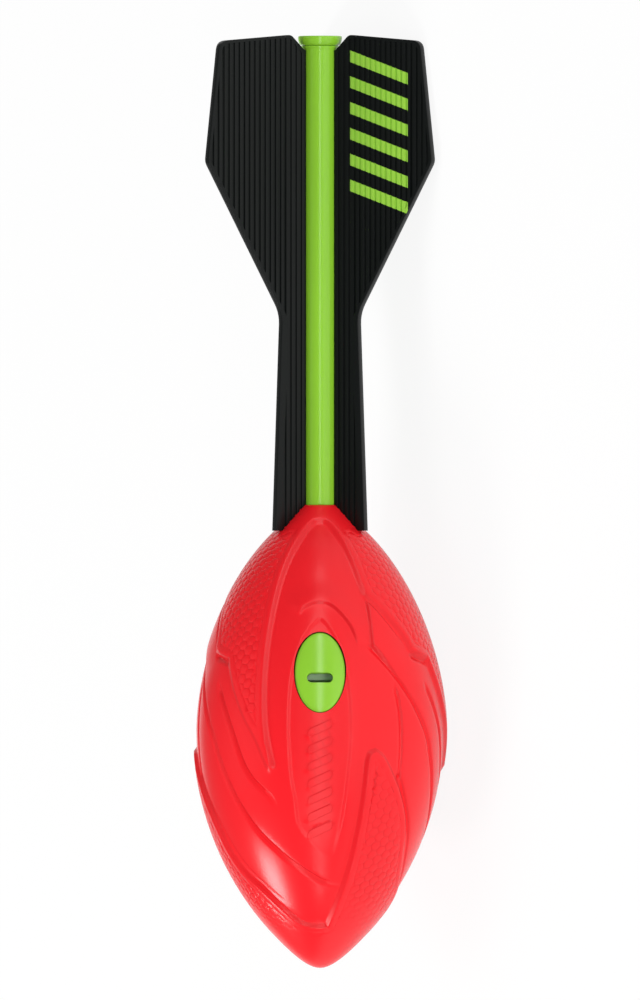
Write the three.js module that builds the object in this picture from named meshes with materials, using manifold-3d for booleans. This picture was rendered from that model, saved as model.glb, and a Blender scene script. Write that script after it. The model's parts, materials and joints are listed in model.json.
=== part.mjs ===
// Vortex throwing toy: a moulded foam head with three whistles, on a tube with three ribbed fins.
// Lengths are in millimetres. The toy is drawn along its own axis, with the nose at zero and the
// tail towards +Z, and is then laid on its belly and two fin corners, as it rests on a table.
// Angles round the axis are in degrees from the middle of a whistle.

import * as THREE from 'three';
import { mergeVertices } from 'three/addons/utils/BufferGeometryUtils.js';
import Module from 'manifold-3d';

const wasm = await Module();
wasm.setup();

// Fits that the whole toy shares
const copies = 3; // whistles, fins and panels round the axis
const clearance = 0.3; // between pieces that touch on the real toy
const overrun = 2; // how far a cutting shape runs past what it cuts
const weldDistance = 0.0005;

// Foam head
const foamLength = 161.5;
const foamRadius = 44.4;
const girthAt = 83; // from the nose to the fattest ring
const coneLength = 9.3; // of the cone round the tube
const shoulderAt = foamLength - coneLength;
const mouthLip = 0.4; // foam left round the bore at the end of the cone
const noseCapAt = 11.5; // the textured pads join up ahead of this ring
const noseFullness = 0.75;
const noseBall = 6.5; // radius that rounds the nose
const noseBlend = 4; // how sharply that rounding gives way to the egg
const tailOnset = 1.8;
const tailFullness = 0.63;
const padRise = 1.3; // textured pads above the smooth panels
const padBevel = 2;
const padRoot = 3; // how deep a pad is rooted in the head
const biteDepth = 0.5; // how far a bevel is carried through the face that it meets
const grooveDepth = 1.1;
const grooveShallowSide = 2;
const grooveSteepSide = 0.8;
const channelDepth = 0.8;
const channelBevel = 1.6;

// Whistles
const whistleAt = 103.6; // from the nose to the middle of the oval
const faceHalfWidth = 8.7;
const faceHalfLength = 14.1;
const faceDrop = 1; // rim of the oval below its middle, as the foam curves away
const faceRimHeight = 1.5;
const domeHeight = 1.3;
const slotLength = 9;
const slotWidth = 3.5;
const slotOffset = 2.1; // towards the nose
const cupStep = 1.1; // the chamber is this much narrower than its cover
const cupDepth = 13;
const cupWall = 1.2;
const blowRampRise = 4.5;
const blowRampRun = 7;

// Tail tube and its end cap
const tubeRadius = 6.1;
const tubeWall = 1.8;
const tubeFrontAt = 62;
const keyDepth = 0.8; // grooves in the tube that take the fin roots
const flareAt = 320.4;
const flareRadius = 6.6;
const flareLength = 1.2;
const capRadius = 7.7; // the cap widens to this from the flare
const capThickness = 3.1;
const capEdge = 0.6;
const spigotLength = 9;

// Anchor disc that holds the tube in the foam
const anchorRadius = 12;
const anchorThickness = 2.4;
const anchorSpigot = 8;

// Fins: radii are from the toy's axis, and distances from the nose
const finThickness = 1.5;
const ribHeight = 0.5;
const ribWidth = 1.5;
const ribCrestWidth = 1.2;
const ribPitch = 2.07;
const firstRib = 1.3; // from the tube to the middle of the nearest rib
const rimWidth = 1;
const strakeBand = 2.4; // smooth edge of the narrow part
const footLength = 24.2; // of a fin's foot inside the foam
const footFrontAt = shoulderAt - footLength;
const footRadius = 13;
const strakeRadius = 18.5;
const neckRadius = 15.7;
const neckFillet = 13;
const spanRadius = 45.6;
const spanFillet = 4.5;
const tipRadius = 40.8;
const tipFillet = 3.6;
const crownRadius = 12.3;
const crownFillet = 2.6;
const crownReach = 4.9; // how far a fin's inner corner passes the start of the tube's flare
const crownFall = 2.4; // of the tail edge from there to the tip
const tipEdge = 42.1; // from the tip forward to the widest place
const slantRun = 52.6; // of the slanted edge, from the widest place to the neck
const rootGap = 0.4; // between a fin's root and the flare
const crownAt = flareAt + crownReach;
const tipAt = crownAt - crownFall;
const spanAt = tipAt - tipEdge;
const neckAt = spanAt - slantRun;
const rootEndAt = flareAt - rootGap;

// Resting: one whistle looks to the front and up, one to the back and up, one down
const frontWhistleTurn = -120;
const tiltHalvings = 40; // steps that close in on the tilt

// Panels and grooves of one third of the head. Each row is a share of the foam's length from
// the nose, the angle where the panel starts and ends, and its share of the full height.
const upperPadShares = [
  [0.9424, 25, 97.5, 1],
  [0.913, 26.6, 93.2, 1],
  [0.87, 28.6, 91.2, 1],
  [0.809, 30.8, 90.6, 1],
  [0.777, 37, 91, 1],
  [0.741, 43.6, 91.4, 1],
  [0.708, 49.3, 91.7, 1],
  [0.687, 53.2, 91.7, 1],
  [0.677, 68.4, 91.7, 1],
  [0.6075, 76.1, 92.4, 1],
  [0.546, 83.4, 93.4, 1],
  [0.4995, 89.3, 94.6, 0.8],
  [0.4347, 95.6, 96.6, 0],
];
const nosePadShares = [
  [0.458, 25, 28.4, 0],
  [0.395, 22.6, 37.4, 0.9],
  [0.33, 21.9, 46.1, 1],
  [0.258, 20.5, 55.5, 1],
  [0.215, 19.4, 63, 1],
  [0.172, 17.4, 73, 1],
  [0.13, 14.5, 86, 1],
  [0.1, 11.5, 100, 1],
  [0.086, 10.5, 116, 1],
  [0.073, 11.8, 131.8, 0.95],
  [0.068, 11.8, 131.8, 0.8],
];
const channelShares = [
  [0.755, -2, 2, 0],
  [0.735, -7, 7, 0.8],
  [0.716, -10, 9.6, 1],
  [0.676, -13.2, 13, 1],
  [0.6255, -15.1, 14.7, 1],
  [0.532, -15.7, 15.3, 1],
  [0.424, -14.7, 14.3, 1],
  [0.366, -13.3, 13.2, 1],
  [0.316, -12, 12, 1],
  [0.287, -8.4, 11, 0.8],
  [0.24, 4, 9, 0],
];

// Lines of one third: share of the foam's length, angle, and share of the groove's depth
const longGrooveShares = [
  [0.8, 27.8, 0],
  [0.78, 27.5, 1],
  [0.715, 26.6, 1],
  [0.6398, 37.4, 1],
  [0.5679, 49.9, 1],
  [0.5031, 61.4, 1],
  [0.4131, 70.4, 1],
  [0.3376, 78.8, 1],
  [0.28, 87.4, 1],
  [0.2476, 96.1, 1],
  [0.2224, 104.9, 1],
  [0.1972, 114.9, 0.9],
  [0.185, 124.9, 0.8],
  [0.1756, 135, 0],
];
const middleGrooveShares = [
  [0.62, 61, 0],
  [0.5607, 68.6, 1],
  [0.5031, 74.9, 1],
  [0.4491, 81.1, 1],
  [0.3951, 88.6, 1],
  [0.3592, 96.1, 0.7],
  [0.345, 99, 0],
];
const bladeGrooveShares = [
  [0.63, 37.2, 0],
  [0.5823, 39.9, 1],
  [0.5, 40.7, 1],
  [0.42, 41, 1],
  [0.3628, 48, 1],
  [0.316, 54.6, 1],
  [0.25, 63, 1],
  [0.205, 71, 1],
  [0.165, 81, 0.8],
  [0.125, 94, 0],
];

// Faces round each round shape
const headSides = 48;
const headRings = 20;
const tubeSides = 28;
const hiddenSides = 20;
const ovalSides = 28;
const domeRings = 4;

const radians = THREE.MathUtils.degToRad;
const axis = new THREE.Vector3(0, 0, 1);

function toSolid(geometry) {
  const bare = geometry.clone();
  bare.deleteAttribute('normal');
  bare.deleteAttribute('uv');
  const merged = mergeVertices(bare, weldDistance);
  const point = merged.attributes.position.array;
  const corners = merged.index.array;
  const faces = [];
  let volume = 0;
  for (let i = 0; i < corners.length; i += 3) {
    const [a, b, c] = corners.slice(i, i + 3);
    if (a === b || b === c || c === a) continue;
    faces.push(a, b, c);
    const [p, q, r] = [a, b, c].map((n) => new THREE.Vector3().fromArray(point, 3 * n));
    volume += p.dot(q.cross(r));
  }
  if (volume < 0) faces.reverse();
  const mesh = new wasm.Mesh({
    numProp: 3,
    vertProperties: new Float32Array(point),
    triVerts: new Uint32Array(faces),
  });
  mesh.merge();
  return new wasm.Manifold(mesh);
}

function toGeometry(solid) {
  const { vertProperties, triVerts, numProp } = solid.getMesh();
  const geometry = new THREE.BufferGeometry();
  const point = [];
  for (let i = 0; i < vertProperties.length; i += numProp) {
    point.push(vertProperties[i], vertProperties[i + 1], vertProperties[i + 2]);
  }
  geometry.setAttribute('position', new THREE.Float32BufferAttribute(point, 3));
  geometry.setIndex([...triVerts]);
  const flat = geometry.toNonIndexed();
  flat.computeVertexNormals();
  return flat;
}

const join = (solids) => solids.reduce((whole, solid) => whole.add(solid));
const cut = (solid, tools) => tools.reduce((rest, tool) => rest.subtract(tool), solid);
const turnOf = (k) => (2 * Math.PI * k) / copies;
const aroundAxis = (geometry) =>
  [...Array(copies).keys()].map((k) => toSolid(geometry.clone().rotateZ(turnOf(k))));

// LatheGeometry turns about Y, and the toy's axis is Z
function revolve(outline, sides) {
  return new THREE.LatheGeometry(outline.map(([r, z]) => new THREE.Vector2(r, z)), sides)
    .rotateX(Math.PI / 2);
}

// Closes two grids of points, one above the other, into a solid
function solidBetween(upper, lower) {
  const rows = upper.length;
  const columns = upper[0].length;
  const point = [...upper.flat(), ...lower.flat()];
  const at = (layer, i, j) => layer * rows * columns + i * columns + j;
  const faces = [];
  const quad = (a, b, c, d) => faces.push(a, b, c, a, c, d);
  for (let i = 0; i + 1 < rows; i += 1) {
    for (let j = 0; j + 1 < columns; j += 1) {
      quad(at(0, i, j), at(0, i, j + 1), at(0, i + 1, j + 1), at(0, i + 1, j));
      quad(at(1, i, j), at(1, i + 1, j), at(1, i + 1, j + 1), at(1, i, j + 1));
    }
    const last = columns - 1;
    quad(at(0, i, 0), at(0, i + 1, 0), at(1, i + 1, 0), at(1, i, 0));
    quad(at(0, i, last), at(1, i, last), at(1, i + 1, last), at(0, i + 1, last));
  }
  for (let j = 0; j + 1 < columns; j += 1) {
    const end = rows - 1;
    quad(at(0, 0, j), at(1, 0, j), at(1, 0, j + 1), at(0, 0, j + 1));
    quad(at(0, end, j), at(0, end, j + 1), at(1, end, j + 1), at(1, end, j));
  }
  const geometry = new THREE.BufferGeometry().setFromPoints(point);
  geometry.setIndex(faces);
  return geometry;
}

// Foam head

function outerRadiusAt(s) {
  if (s <= girthAt) {
    const egg = foamRadius * (1 - (1 - s / girthAt) ** 2) ** noseFullness;
    const ball = Math.sqrt(Math.max(0, (2 * noseBall - s) * s));
    return (egg ** noseBlend + ball ** noseBlend) ** (1 / noseBlend);
  }
  const along = (s - girthAt) / (foamLength - girthAt);
  return foamRadius * (1 - along ** tailOnset) ** tailFullness;
}

function panelRadiusAt(s) {
  return outerRadiusAt(s) - padRise * THREE.MathUtils.smoothstep(s, noseCapAt, noseCapAt + padBevel);
}

function onHead(radius, degrees, s) {
  const turn = radians(degrees);
  return new THREE.Vector3(radius * Math.cos(turn), radius * Math.sin(turn), s);
}

function slopeAt(s) {
  return (panelRadiusAt(s + clearance) - panelRadiusAt(s - clearance)) / (2 * clearance);
}

function normalAt(s, degrees) {
  return onHead(1, degrees, -slopeAt(s)).normalize();
}

const anchorBackAt = tubeFrontAt - clearance;
const anchorFrontAt = anchorBackAt - anchorThickness;

function headBlank() {
  const stations = [noseCapAt, noseCapAt + padBevel, shoulderAt];
  for (let i = 1; i < headRings; i += 1) {
    stations.push(shoulderAt * (1 - Math.cos((Math.PI * i) / (2 * headRings))));
  }
  stations.sort((a, b) => a - b);
  const boreRadius = tubeRadius + clearance;
  const pocketRadius = anchorRadius + clearance;
  return revolve([
    [0, 0],
    ...stations.map((s) => [panelRadiusAt(s), s]),
    [boreRadius + mouthLip, foamLength],
    [boreRadius, foamLength],
    [boreRadius, anchorBackAt + clearance],
    [pocketRadius, anchorBackAt + clearance],
    [pocketRadius, anchorFrontAt - clearance],
    [0, anchorFrontAt - clearance],
  ], headSides);
}

// A patch of the head between two boundary lines. Its shaped side drops to the edge radius all
// along both boundaries, over the width of the bevel, and its plain side has none.
function patch(rowShares, shapedAt, edgeAt, plainAt, bevel, columns) {
  const shaped = [];
  const plain = [];
  for (const [lengthShare, start, end, heightShare] of rowShares) {
    const s = lengthShare * foamLength;
    const bevelAngle = Math.min(THREE.MathUtils.radToDeg(bevel / panelRadiusAt(s)), (end - start) / 3);
    const angles = [start];
    for (let j = 0; j <= columns; j += 1) {
      angles.push(THREE.MathUtils.lerp(start + bevelAngle, end - bevelAngle, j / columns));
    }
    angles.push(end);
    const level = THREE.MathUtils.lerp(edgeAt(s), shapedAt(s), heightShare);
    const radiusOf = (j) => (j === 0 || j === angles.length - 1 ? edgeAt(s) : level);
    shaped.push(angles.map((angle, j) => onHead(radiusOf(j), angle, s)));
    plain.push(angles.map((angle) => onHead(plainAt(s), angle, s)));
  }
  return solidBetween(shaped, plain);
}

function raisedPad(rowShares, columns) {
  return patch(
    rowShares,
    outerRadiusAt,
    (s) => panelRadiusAt(s) - biteDepth,
    (s) => panelRadiusAt(s) - padRoot,
    padBevel,
    columns,
  );
}

function fingerChannel() {
  return patch(
    channelShares,
    (s) => panelRadiusAt(s) - channelDepth,
    (s) => panelRadiusAt(s) + biteDepth,
    (s) => panelRadiusAt(s) + overrun,
    channelBevel,
    4,
  );
}

// A cutter for a groove with one gentle and one steep side, laid along a line on the head
function groove(lineShares) {
  const line = lineShares.map(([lengthShare, degrees, depthShare]) => {
    const s = lengthShare * foamLength;
    return { s, degrees, depthShare, foot: onHead(panelRadiusAt(s), degrees, s) };
  });
  const spread = (grooveDepth + overrun) / grooveDepth;
  const edges = line.map(({ s, degrees, depthShare, foot }, i) => {
    const ahead = line[Math.min(i + 1, line.length - 1)].foot;
    const behind = line[Math.max(i - 1, 0)].foot;
    const up = normalAt(s, degrees);
    const side = new THREE.Vector3().subVectors(ahead, behind).cross(up).normalize();
    const corner = (across, rise) =>
      foot.clone().addScaledVector(side, across).addScaledVector(up, rise);
    const depth = THREE.MathUtils.lerp(-clearance, grooveDepth, depthShare);
    return [
      corner(grooveSteepSide * spread, overrun),
      corner(0, -depth),
      corner(-grooveShallowSide * spread, overrun),
    ];
  });
  const lid = edges.map(([steep, , gentle]) => [
    steep,
    steep.clone().lerp(gentle, 0.5),
    gentle,
  ]);
  return solidBetween(lid, edges);
}

// Seat of a whistle: its Z leaves the foam square to the surface, and its Y runs to the tail
function whistleSeat() {
  const out = normalAt(whistleAt, 0);
  const round = new THREE.Vector3(0, -1, 0);
  const along = new THREE.Vector3().crossVectors(out, round);
  const origin = onHead(panelRadiusAt(whistleAt) - channelDepth, 0, whistleAt);
  return new THREE.Matrix4().makeBasis(round, along, out).setPosition(origin);
}

const faceTop = -faceDrop;
const faceUnder = faceTop - faceRimHeight;
const cupTop = faceUnder - clearance;
const cupHalfWidth = faceHalfWidth - cupStep;
const cupHalfLength = faceHalfLength - cupStep;

function oval(halfWidth, halfLength, bottom, top) {
  return revolve([[0, bottom], [1, bottom], [1, top], [0, top]], ovalSides)
    .scale(halfWidth, halfLength, 1);
}

function whistlePocket() {
  const cover = toSolid(oval(
    faceHalfWidth + clearance,
    faceHalfLength + clearance,
    faceUnder - clearance,
    faceUnder + domeHeight + overrun * 2,
  ));
  const chamber = toSolid(oval(
    cupHalfWidth + clearance,
    cupHalfLength + clearance,
    cupTop - cupDepth - clearance,
    faceUnder,
  ));
  return toGeometry(cover.add(chamber)).applyMatrix4(whistleSeat());
}

// Fins, drawn in a plane with the radius along X and the toy's axis along Y

// A shape from corners of x, y and fillet radius
function filletedShape(corners) {
  const shape = new THREE.Shape();
  corners.forEach(([x, y, fillet], i) => {
    const here = new THREE.Vector2(x, y);
    if (!fillet) {
      if (i) shape.lineTo(x, y);
      else shape.moveTo(x, y);
      return;
    }
    const count = corners.length;
    const back = new THREE.Vector2(...corners[(i + count - 1) % count].slice(0, 2)).sub(here);
    const on = new THREE.Vector2(...corners[(i + 1) % count].slice(0, 2)).sub(here);
    const half = Math.acos(back.dot(on) / (back.length() * on.length())) / 2;
    const reach = fillet / Math.tan(half);
    const from = back.setLength(reach).add(here);
    const to = on.setLength(reach).add(here);
    if (i) shape.lineTo(from.x, from.y);
    else shape.moveTo(from.x, from.y);
    shape.quadraticCurveTo(x, y, to.x, to.y);
  });
  return shape;
}

const keyRadius = tubeRadius - keyDepth + clearance; // inner edge of a fin's root

// Corners of a fin, drawn in by an inset along its free edges and a band along its narrow part
function finCorners(inset, band) {
  const flare = Math.atan2(spanRadius - neckRadius, spanAt - neckAt);
  const slantInset = inset / Math.cos(flare);
  return [
    [strakeRadius - band, shoulderAt + clearance, 0],
    [neckRadius - band, neckAt + (slantInset - band) / Math.tan(flare), neckFillet],
    [spanRadius - inset, spanAt + slantInset - inset * Math.tan(flare), spanFillet],
    [tipRadius - inset, tipAt - inset, tipFillet],
    [crownRadius + inset / 2, crownAt - inset, crownFillet],
  ];
}

function plate(shape, thickness) {
  return new THREE.ExtrudeGeometry(shape, {
    depth: thickness,
    bevelEnabled: false,
    curveSegments: 5,
  }).translate(0, 0, -thickness / 2);
}

function finBlade() {
  const body = filletedShape([
    [keyRadius, footFrontAt, 0],
    [footRadius, footFrontAt, 0],
    [footRadius, shoulderAt + clearance, 0],
    ...finCorners(0, 0),
    [tubeRadius + keyDepth, rootEndAt, 0],
    [keyRadius, rootEndAt, 0],
  ]);
  return toSolid(plate(body, finThickness));
}

// The outline that the rim leaves for the ribs
function ribField(inset, band) {
  return filletedShape([
    [tubeRadius + clearance, shoulderAt + clearance, 0],
    ...finCorners(inset, band),
    [tubeRadius + keyDepth + inset, rootEndAt - inset, 0],
    [tubeRadius + clearance, rootEndAt - inset, 0],
  ]);
}

function ribRadii() {
  const radii = [];
  for (let r = tubeRadius + firstRib; r < spanRadius - rimWidth; r += ribPitch) radii.push(r);
  return radii;
}

// A fin's cross section with the ribs of both faces, extruded along the axis
function ribComb() {
  const crest = finThickness / 2 + ribHeight;
  const face = finThickness / 2;
  const side = [[tubeRadius + clearance, face]];
  for (const r of ribRadii()) {
    side.push([r - ribWidth / 2, face], [r - ribCrestWidth / 2, crest]);
    side.push([r + ribCrestWidth / 2, crest], [r + ribWidth / 2, face]);
  }
  side.push([spanRadius, face]);
  const otherSide = side.map(([r, height]) => [r, -height]).reverse();
  const comb = new THREE.Shape([...side, ...otherSide].map(([r, height]) => new THREE.Vector2(r, height)));
  const length = crownAt - shoulderAt;
  return toSolid(new THREE.ExtrudeGeometry(comb, { depth: length, bevelEnabled: false })
    .rotateX(-Math.PI / 2)
    .translate(0, shoulderAt, 0));
}

function fin() {
  const rimThickness = finThickness + 2 * ribHeight;
  const whole = toSolid(plate(ribField(0, 0), rimThickness));
  const field = toSolid(plate(ribField(rimWidth, strakeBand), rimThickness + overrun));
  const rim = whole.subtract(field);
  const comb = ribComb();
  return toGeometry(finBlade().add(rim).add(comb.intersect(field)));
}

// The foam's slot for a fin's foot, with clearance all round
function finSlot() {
  const slot = filletedShape([
    [0, footFrontAt - clearance, 0],
    [footRadius + clearance, footFrontAt - clearance, 0],
    [footRadius + clearance, shoulderAt, 0],
    [strakeRadius + overrun, shoulderAt, 0],
    [strakeRadius + overrun, foamLength + overrun, 0],
    [0, foamLength + overrun, 0],
  ]);
  return plate(slot, finThickness + 2 * (ribHeight + clearance));
}

// Turns a fin's plane so that its radius leads along X of the toy and its axis along Z
const standUp = (geometry) => geometry.rotateX(Math.PI / 2);
const finTurn = 180 / copies;

function foamHead() {
  const raised = [raisedPad(upperPadShares, 8), raisedPad(nosePadShares, 10)];
  const sunk = [
    fingerChannel(),
    groove(longGrooveShares),
    groove(middleGrooveShares),
    groove(bladeGrooveShares),
    whistlePocket(),
    standUp(finSlot()).rotateZ(radians(finTurn)),
  ];
  const blank = join([toSolid(headBlank()), ...raised.flatMap(aroundAxis)]);
  return toGeometry(cut(blank, sunk.flatMap(aroundAxis)));
}

function whistleFace() {
  const dome = [];
  for (let i = domeRings; i >= 0; i -= 1) {
    const q = i / domeRings;
    dome.push([q * 0.96, faceTop + domeHeight * (1 - q * q)]);
  }
  const disc = revolve([[0, faceUnder], [1, faceUnder], [1, faceTop - clearance], ...dome], ovalSides)
    .scale(faceHalfWidth, faceHalfLength, 1);
  const end = slotWidth / 2;
  const reach = slotLength / 2 - end;
  const slot = new THREE.Shape();
  slot.moveTo(-reach, -end);
  slot.lineTo(reach, -end);
  slot.absarc(reach, 0, end, -Math.PI / 2, Math.PI / 2, false);
  slot.lineTo(-reach, end);
  slot.absarc(-reach, 0, end, Math.PI / 2, Math.PI * 1.5, false);
  const cutter = plate(slot, (faceRimHeight + domeHeight + overrun) * 2).translate(0, -slotOffset, 0);
  return toGeometry(toSolid(disc).subtract(toSolid(cutter)));
}

// The chamber behind a face: an oval cup with the sloping ramp that splits the air
function whistleCup() {
  const inner = 1 - cupWall / cupHalfWidth;
  const cup = revolve([
    [0, cupTop - cupDepth],
    [1, cupTop - cupDepth],
    [1, cupTop],
    [inner, cupTop],
    [inner, cupTop - cupDepth + cupWall],
    [0, cupTop - cupDepth + cupWall],
  ], ovalSides).scale(cupHalfWidth, cupHalfLength, 1);
  const rampEnd = slotWidth - slotOffset;
  const foot = cupTop - blowRampRise - cupWall;
  const ramp = new THREE.Shape([
    [-cupHalfLength, foot],
    [rampEnd, foot],
    [rampEnd, foot + cupWall],
    [rampEnd - blowRampRun, cupTop],
    [-cupHalfLength, cupTop],
  ].map(([along, out]) => new THREE.Vector2(along, out)));
  const wedge = toSolid(new THREE.ExtrudeGeometry(ramp, { depth: faceHalfWidth * 2, bevelEnabled: false })
    .translate(0, 0, -faceHalfWidth)
    .applyMatrix4(new THREE.Matrix4().makeBasis(
      new THREE.Vector3(0, 1, 0),
      new THREE.Vector3(0, 0, 1),
      new THREE.Vector3(1, 0, 0),
    )));
  const envelope = toSolid(oval(cupHalfWidth, cupHalfLength, cupTop - cupDepth, cupTop));
  return toGeometry(toSolid(cup).add(wedge.intersect(envelope)));
}

// Tail tube: a bored tube with a flared end and a groove for each fin root
function coreTube() {
  const bore = tubeRadius - tubeWall;
  const body = toSolid(revolve([
    [bore, tubeFrontAt],
    [tubeRadius, tubeFrontAt],
    [tubeRadius, flareAt],
    [flareRadius, flareAt + flareLength * 0.6],
    [flareRadius, flareAt + flareLength],
    [bore, flareAt + flareLength],
    [bore, tubeFrontAt],
  ], tubeSides));
  const length = rootEndAt + clearance - footFrontAt + 2 * clearance;
  const key = new THREE.BoxGeometry(keyDepth + overrun, finThickness + 2 * clearance, length)
    .translate(
      tubeRadius - keyDepth + (keyDepth + overrun) / 2,
      0,
      rootEndAt + clearance - length / 2,
    )
    .rotateZ(radians(finTurn));
  return toGeometry(cut(body, aroundAxis(key)));
}

function spigotRadius() {
  return tubeRadius - tubeWall - clearance;
}

function tailCap() {
  const seat = flareAt + flareLength + clearance;
  const end = seat + capThickness;
  return revolve([
    [0, seat - spigotLength],
    [spigotRadius() - capEdge / 2, seat - spigotLength],
    [spigotRadius(), seat - spigotLength + capEdge],
    [spigotRadius(), seat],
    [flareRadius, seat],
    [capRadius, end - capEdge * 1.5],
    [capRadius, end - capEdge],
    [capRadius - capEdge * 0.3, end - capEdge * 0.3],
    [capRadius - capEdge, end],
    [0, end],
  ], tubeSides);
}

function noseAnchor() {
  return revolve([
    [0, anchorFrontAt],
    [anchorRadius - anchorThickness / 3, anchorFrontAt],
    [anchorRadius, anchorFrontAt + anchorThickness / 3],
    [anchorRadius, anchorBackAt - anchorThickness / 3],
    [anchorRadius - anchorThickness / 3, anchorBackAt],
    [spigotRadius(), anchorBackAt],
    [spigotRadius(), anchorBackAt + anchorSpigot],
    [0, anchorBackAt + anchorSpigot],
  ], hiddenSides);
}

const finish = (color, roughness) =>
  new THREE.MeshStandardMaterial({ color, roughness, metalness: 0 });
const redFoam = finish(0xf0222c, 0.45);
const greenPlastic = finish(0x84c72c, 0.25);
const blackPlastic = finish(0x14181a, 0.5);
const greyPlastic = finish(0x9aa39a, 0.5);

const toy = new THREE.Group();

function addPiece(name, geometry, material, turn = 0) {
  const mesh = new THREE.Mesh(geometry, material);
  mesh.name = name;
  mesh.rotateOnAxis(axis, turn);
  toy.add(mesh);
  return mesh;
}

addPiece('foam_head', foamHead(), redFoam);
addPiece('core_tube', coreTube(), greenPlastic);
addPiece('tail_cap', tailCap(), greenPlastic);
addPiece('nose_anchor', noseAnchor(), greyPlastic);
const seat = whistleSeat();
for (let k = 0; k < copies; k += 1) {
  addPiece(`fin_${k + 1}`, standUp(fin()), blackPlastic, turnOf(k) + radians(finTurn));
  const face = whistleFace().applyMatrix4(seat);
  addPiece(`whistle_face_${k + 1}`, face, greenPlastic, turnOf(k));
  const cup = whistleCup().applyMatrix4(seat);
  addPiece(`whistle_cup_${k + 1}`, cup, greenPlastic, turnOf(k));
}

// Laid down, the toy's axis leads along X and its nose is raised until the belly and the two
// lower fins touch the table together
const laid = new THREE.Group();
laid.add(toy);
toy.rotation.z = radians(frontWhistleTurn);
laid.updateMatrixWorld(true);

function pointsOf(name) {
  const mesh = toy.getObjectByName(name);
  return mesh.geometry.clone().applyMatrix4(mesh.matrixWorld).attributes.position;
}

function lowest(points, tilt) {
  let height = Infinity;
  for (let i = 0; i < points.count; i += 1) {
    height = Math.min(height, -points.getX(i) * Math.cos(tilt) - points.getZ(i) * Math.sin(tilt));
  }
  return height;
}

function restTilt() {
  const belly = pointsOf('foam_head');
  const fins = [...Array(copies).keys()].map((k) => pointsOf(`fin_${k + 1}`));
  let low = 0;
  let high = Math.PI / 6;
  for (let halving = 0; halving < tiltHalvings; halving += 1) {
    const tilt = (low + high) / 2;
    const finHeight = Math.min(...fins.map((points) => lowest(points, tilt)));
    if (lowest(belly, tilt) < finHeight) low = tilt;
    else high = tilt;
  }
  return (low + high) / 2;
}

laid.rotation.y = Math.PI / 2 + restTilt();
laid.updateMatrixWorld(true);
const box = new THREE.Box3().setFromObject(laid, true);
const middle = box.getCenter(new THREE.Vector3());
laid.position.set(-middle.x, -middle.y, -box.min.z);

const group = new THREE.Group();
group.add(laid);

export default group;
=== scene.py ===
"""Vortex throwing toy: an egg of moulded foam with three whistles, on a tube with three ribbed fins.

It lies on its foam belly and two fin corners, and the camera looks down on one whistle.
"""

import json
import math

import bmesh
import bpy
import numpy as np
from mathutils import Matrix, Vector
from mathutils.geometry import delaunay_2d_cdt
from mathutils.kdtree import KDTree


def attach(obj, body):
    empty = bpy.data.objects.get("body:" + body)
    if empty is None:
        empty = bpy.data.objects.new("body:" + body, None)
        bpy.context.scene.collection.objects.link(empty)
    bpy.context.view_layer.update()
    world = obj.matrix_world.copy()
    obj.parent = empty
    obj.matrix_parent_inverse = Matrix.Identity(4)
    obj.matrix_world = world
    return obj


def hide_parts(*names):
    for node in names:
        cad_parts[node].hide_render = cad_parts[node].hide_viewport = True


bl_info = {
    "name": "Vortex throwing toy",
    "version": (1, 0, 0),
    "blender": (4, 5, 0),
    "location": "3D View > Sidebar > Throwing toy",
    "description": "Models a foam throwing toy with whistles and ribbed fins, and its studio",
    "category": "Add Mesh",
}

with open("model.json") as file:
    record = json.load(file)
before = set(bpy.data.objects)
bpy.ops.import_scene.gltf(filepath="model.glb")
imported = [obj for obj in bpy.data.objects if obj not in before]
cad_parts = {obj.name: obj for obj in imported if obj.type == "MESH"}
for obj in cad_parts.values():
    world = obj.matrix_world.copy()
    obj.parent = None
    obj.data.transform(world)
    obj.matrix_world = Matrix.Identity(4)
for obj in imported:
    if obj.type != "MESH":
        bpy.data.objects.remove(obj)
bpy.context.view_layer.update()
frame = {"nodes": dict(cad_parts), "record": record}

MM = 0.001
COPIES = 3
THIRD = 2 * math.pi / COPIES
TOY_LENGTH = 325 * MM
WHISTLE_LIFT = math.radians(30)  # the front whistle looks this far above the horizon
SAME_PLACE = 0.001 * MM


def toy_frame():
    """Turns places on the toy, nose at zero, tail along Z and front whistle along X, into the scene's."""
    end = next(mount for mount in frame["record"]["mounts"] if mount["name"] == "tail_end")
    along = Vector(end["axis"]).normalized()
    nose = Vector(end["pos_m"]) - along * TOY_LENGTH
    back = Vector((0, 1, 0))
    over = along.cross(back)
    whistle = over * math.sin(WHISTLE_LIFT) - back * math.cos(WHISTLE_LIFT)
    turned = Matrix((whistle, along.cross(whistle), along)).transposed().to_4x4()
    return Matrix.Translation(nose) @ turned


TOY = toy_frame()


# Properties


def length(name, millimetres, description):
    return bpy.props.FloatProperty(
        name=name, description=description, default=millimetres * MM, unit="LENGTH", precision=5
    )


def number(name, default, description):
    return bpy.props.FloatProperty(name=name, description=description, default=default)


def linear(hex_colour):
    """An sRGB hex colour as linear red, green and blue."""
    parts = [int(hex_colour[i : i + 2], 16) / 255 for i in (1, 3, 5)]
    return [p / 12.92 if p <= 0.04045 else ((p + 0.055) / 1.055) ** 2.4 for p in parts]


def colour(name, hex_colour, description):
    return bpy.props.FloatVectorProperty(
        name=name,
        description=description,
        default=linear(hex_colour),
        subtype="COLOR",
        size=3,
        min=0,
        max=1,
    )


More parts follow.
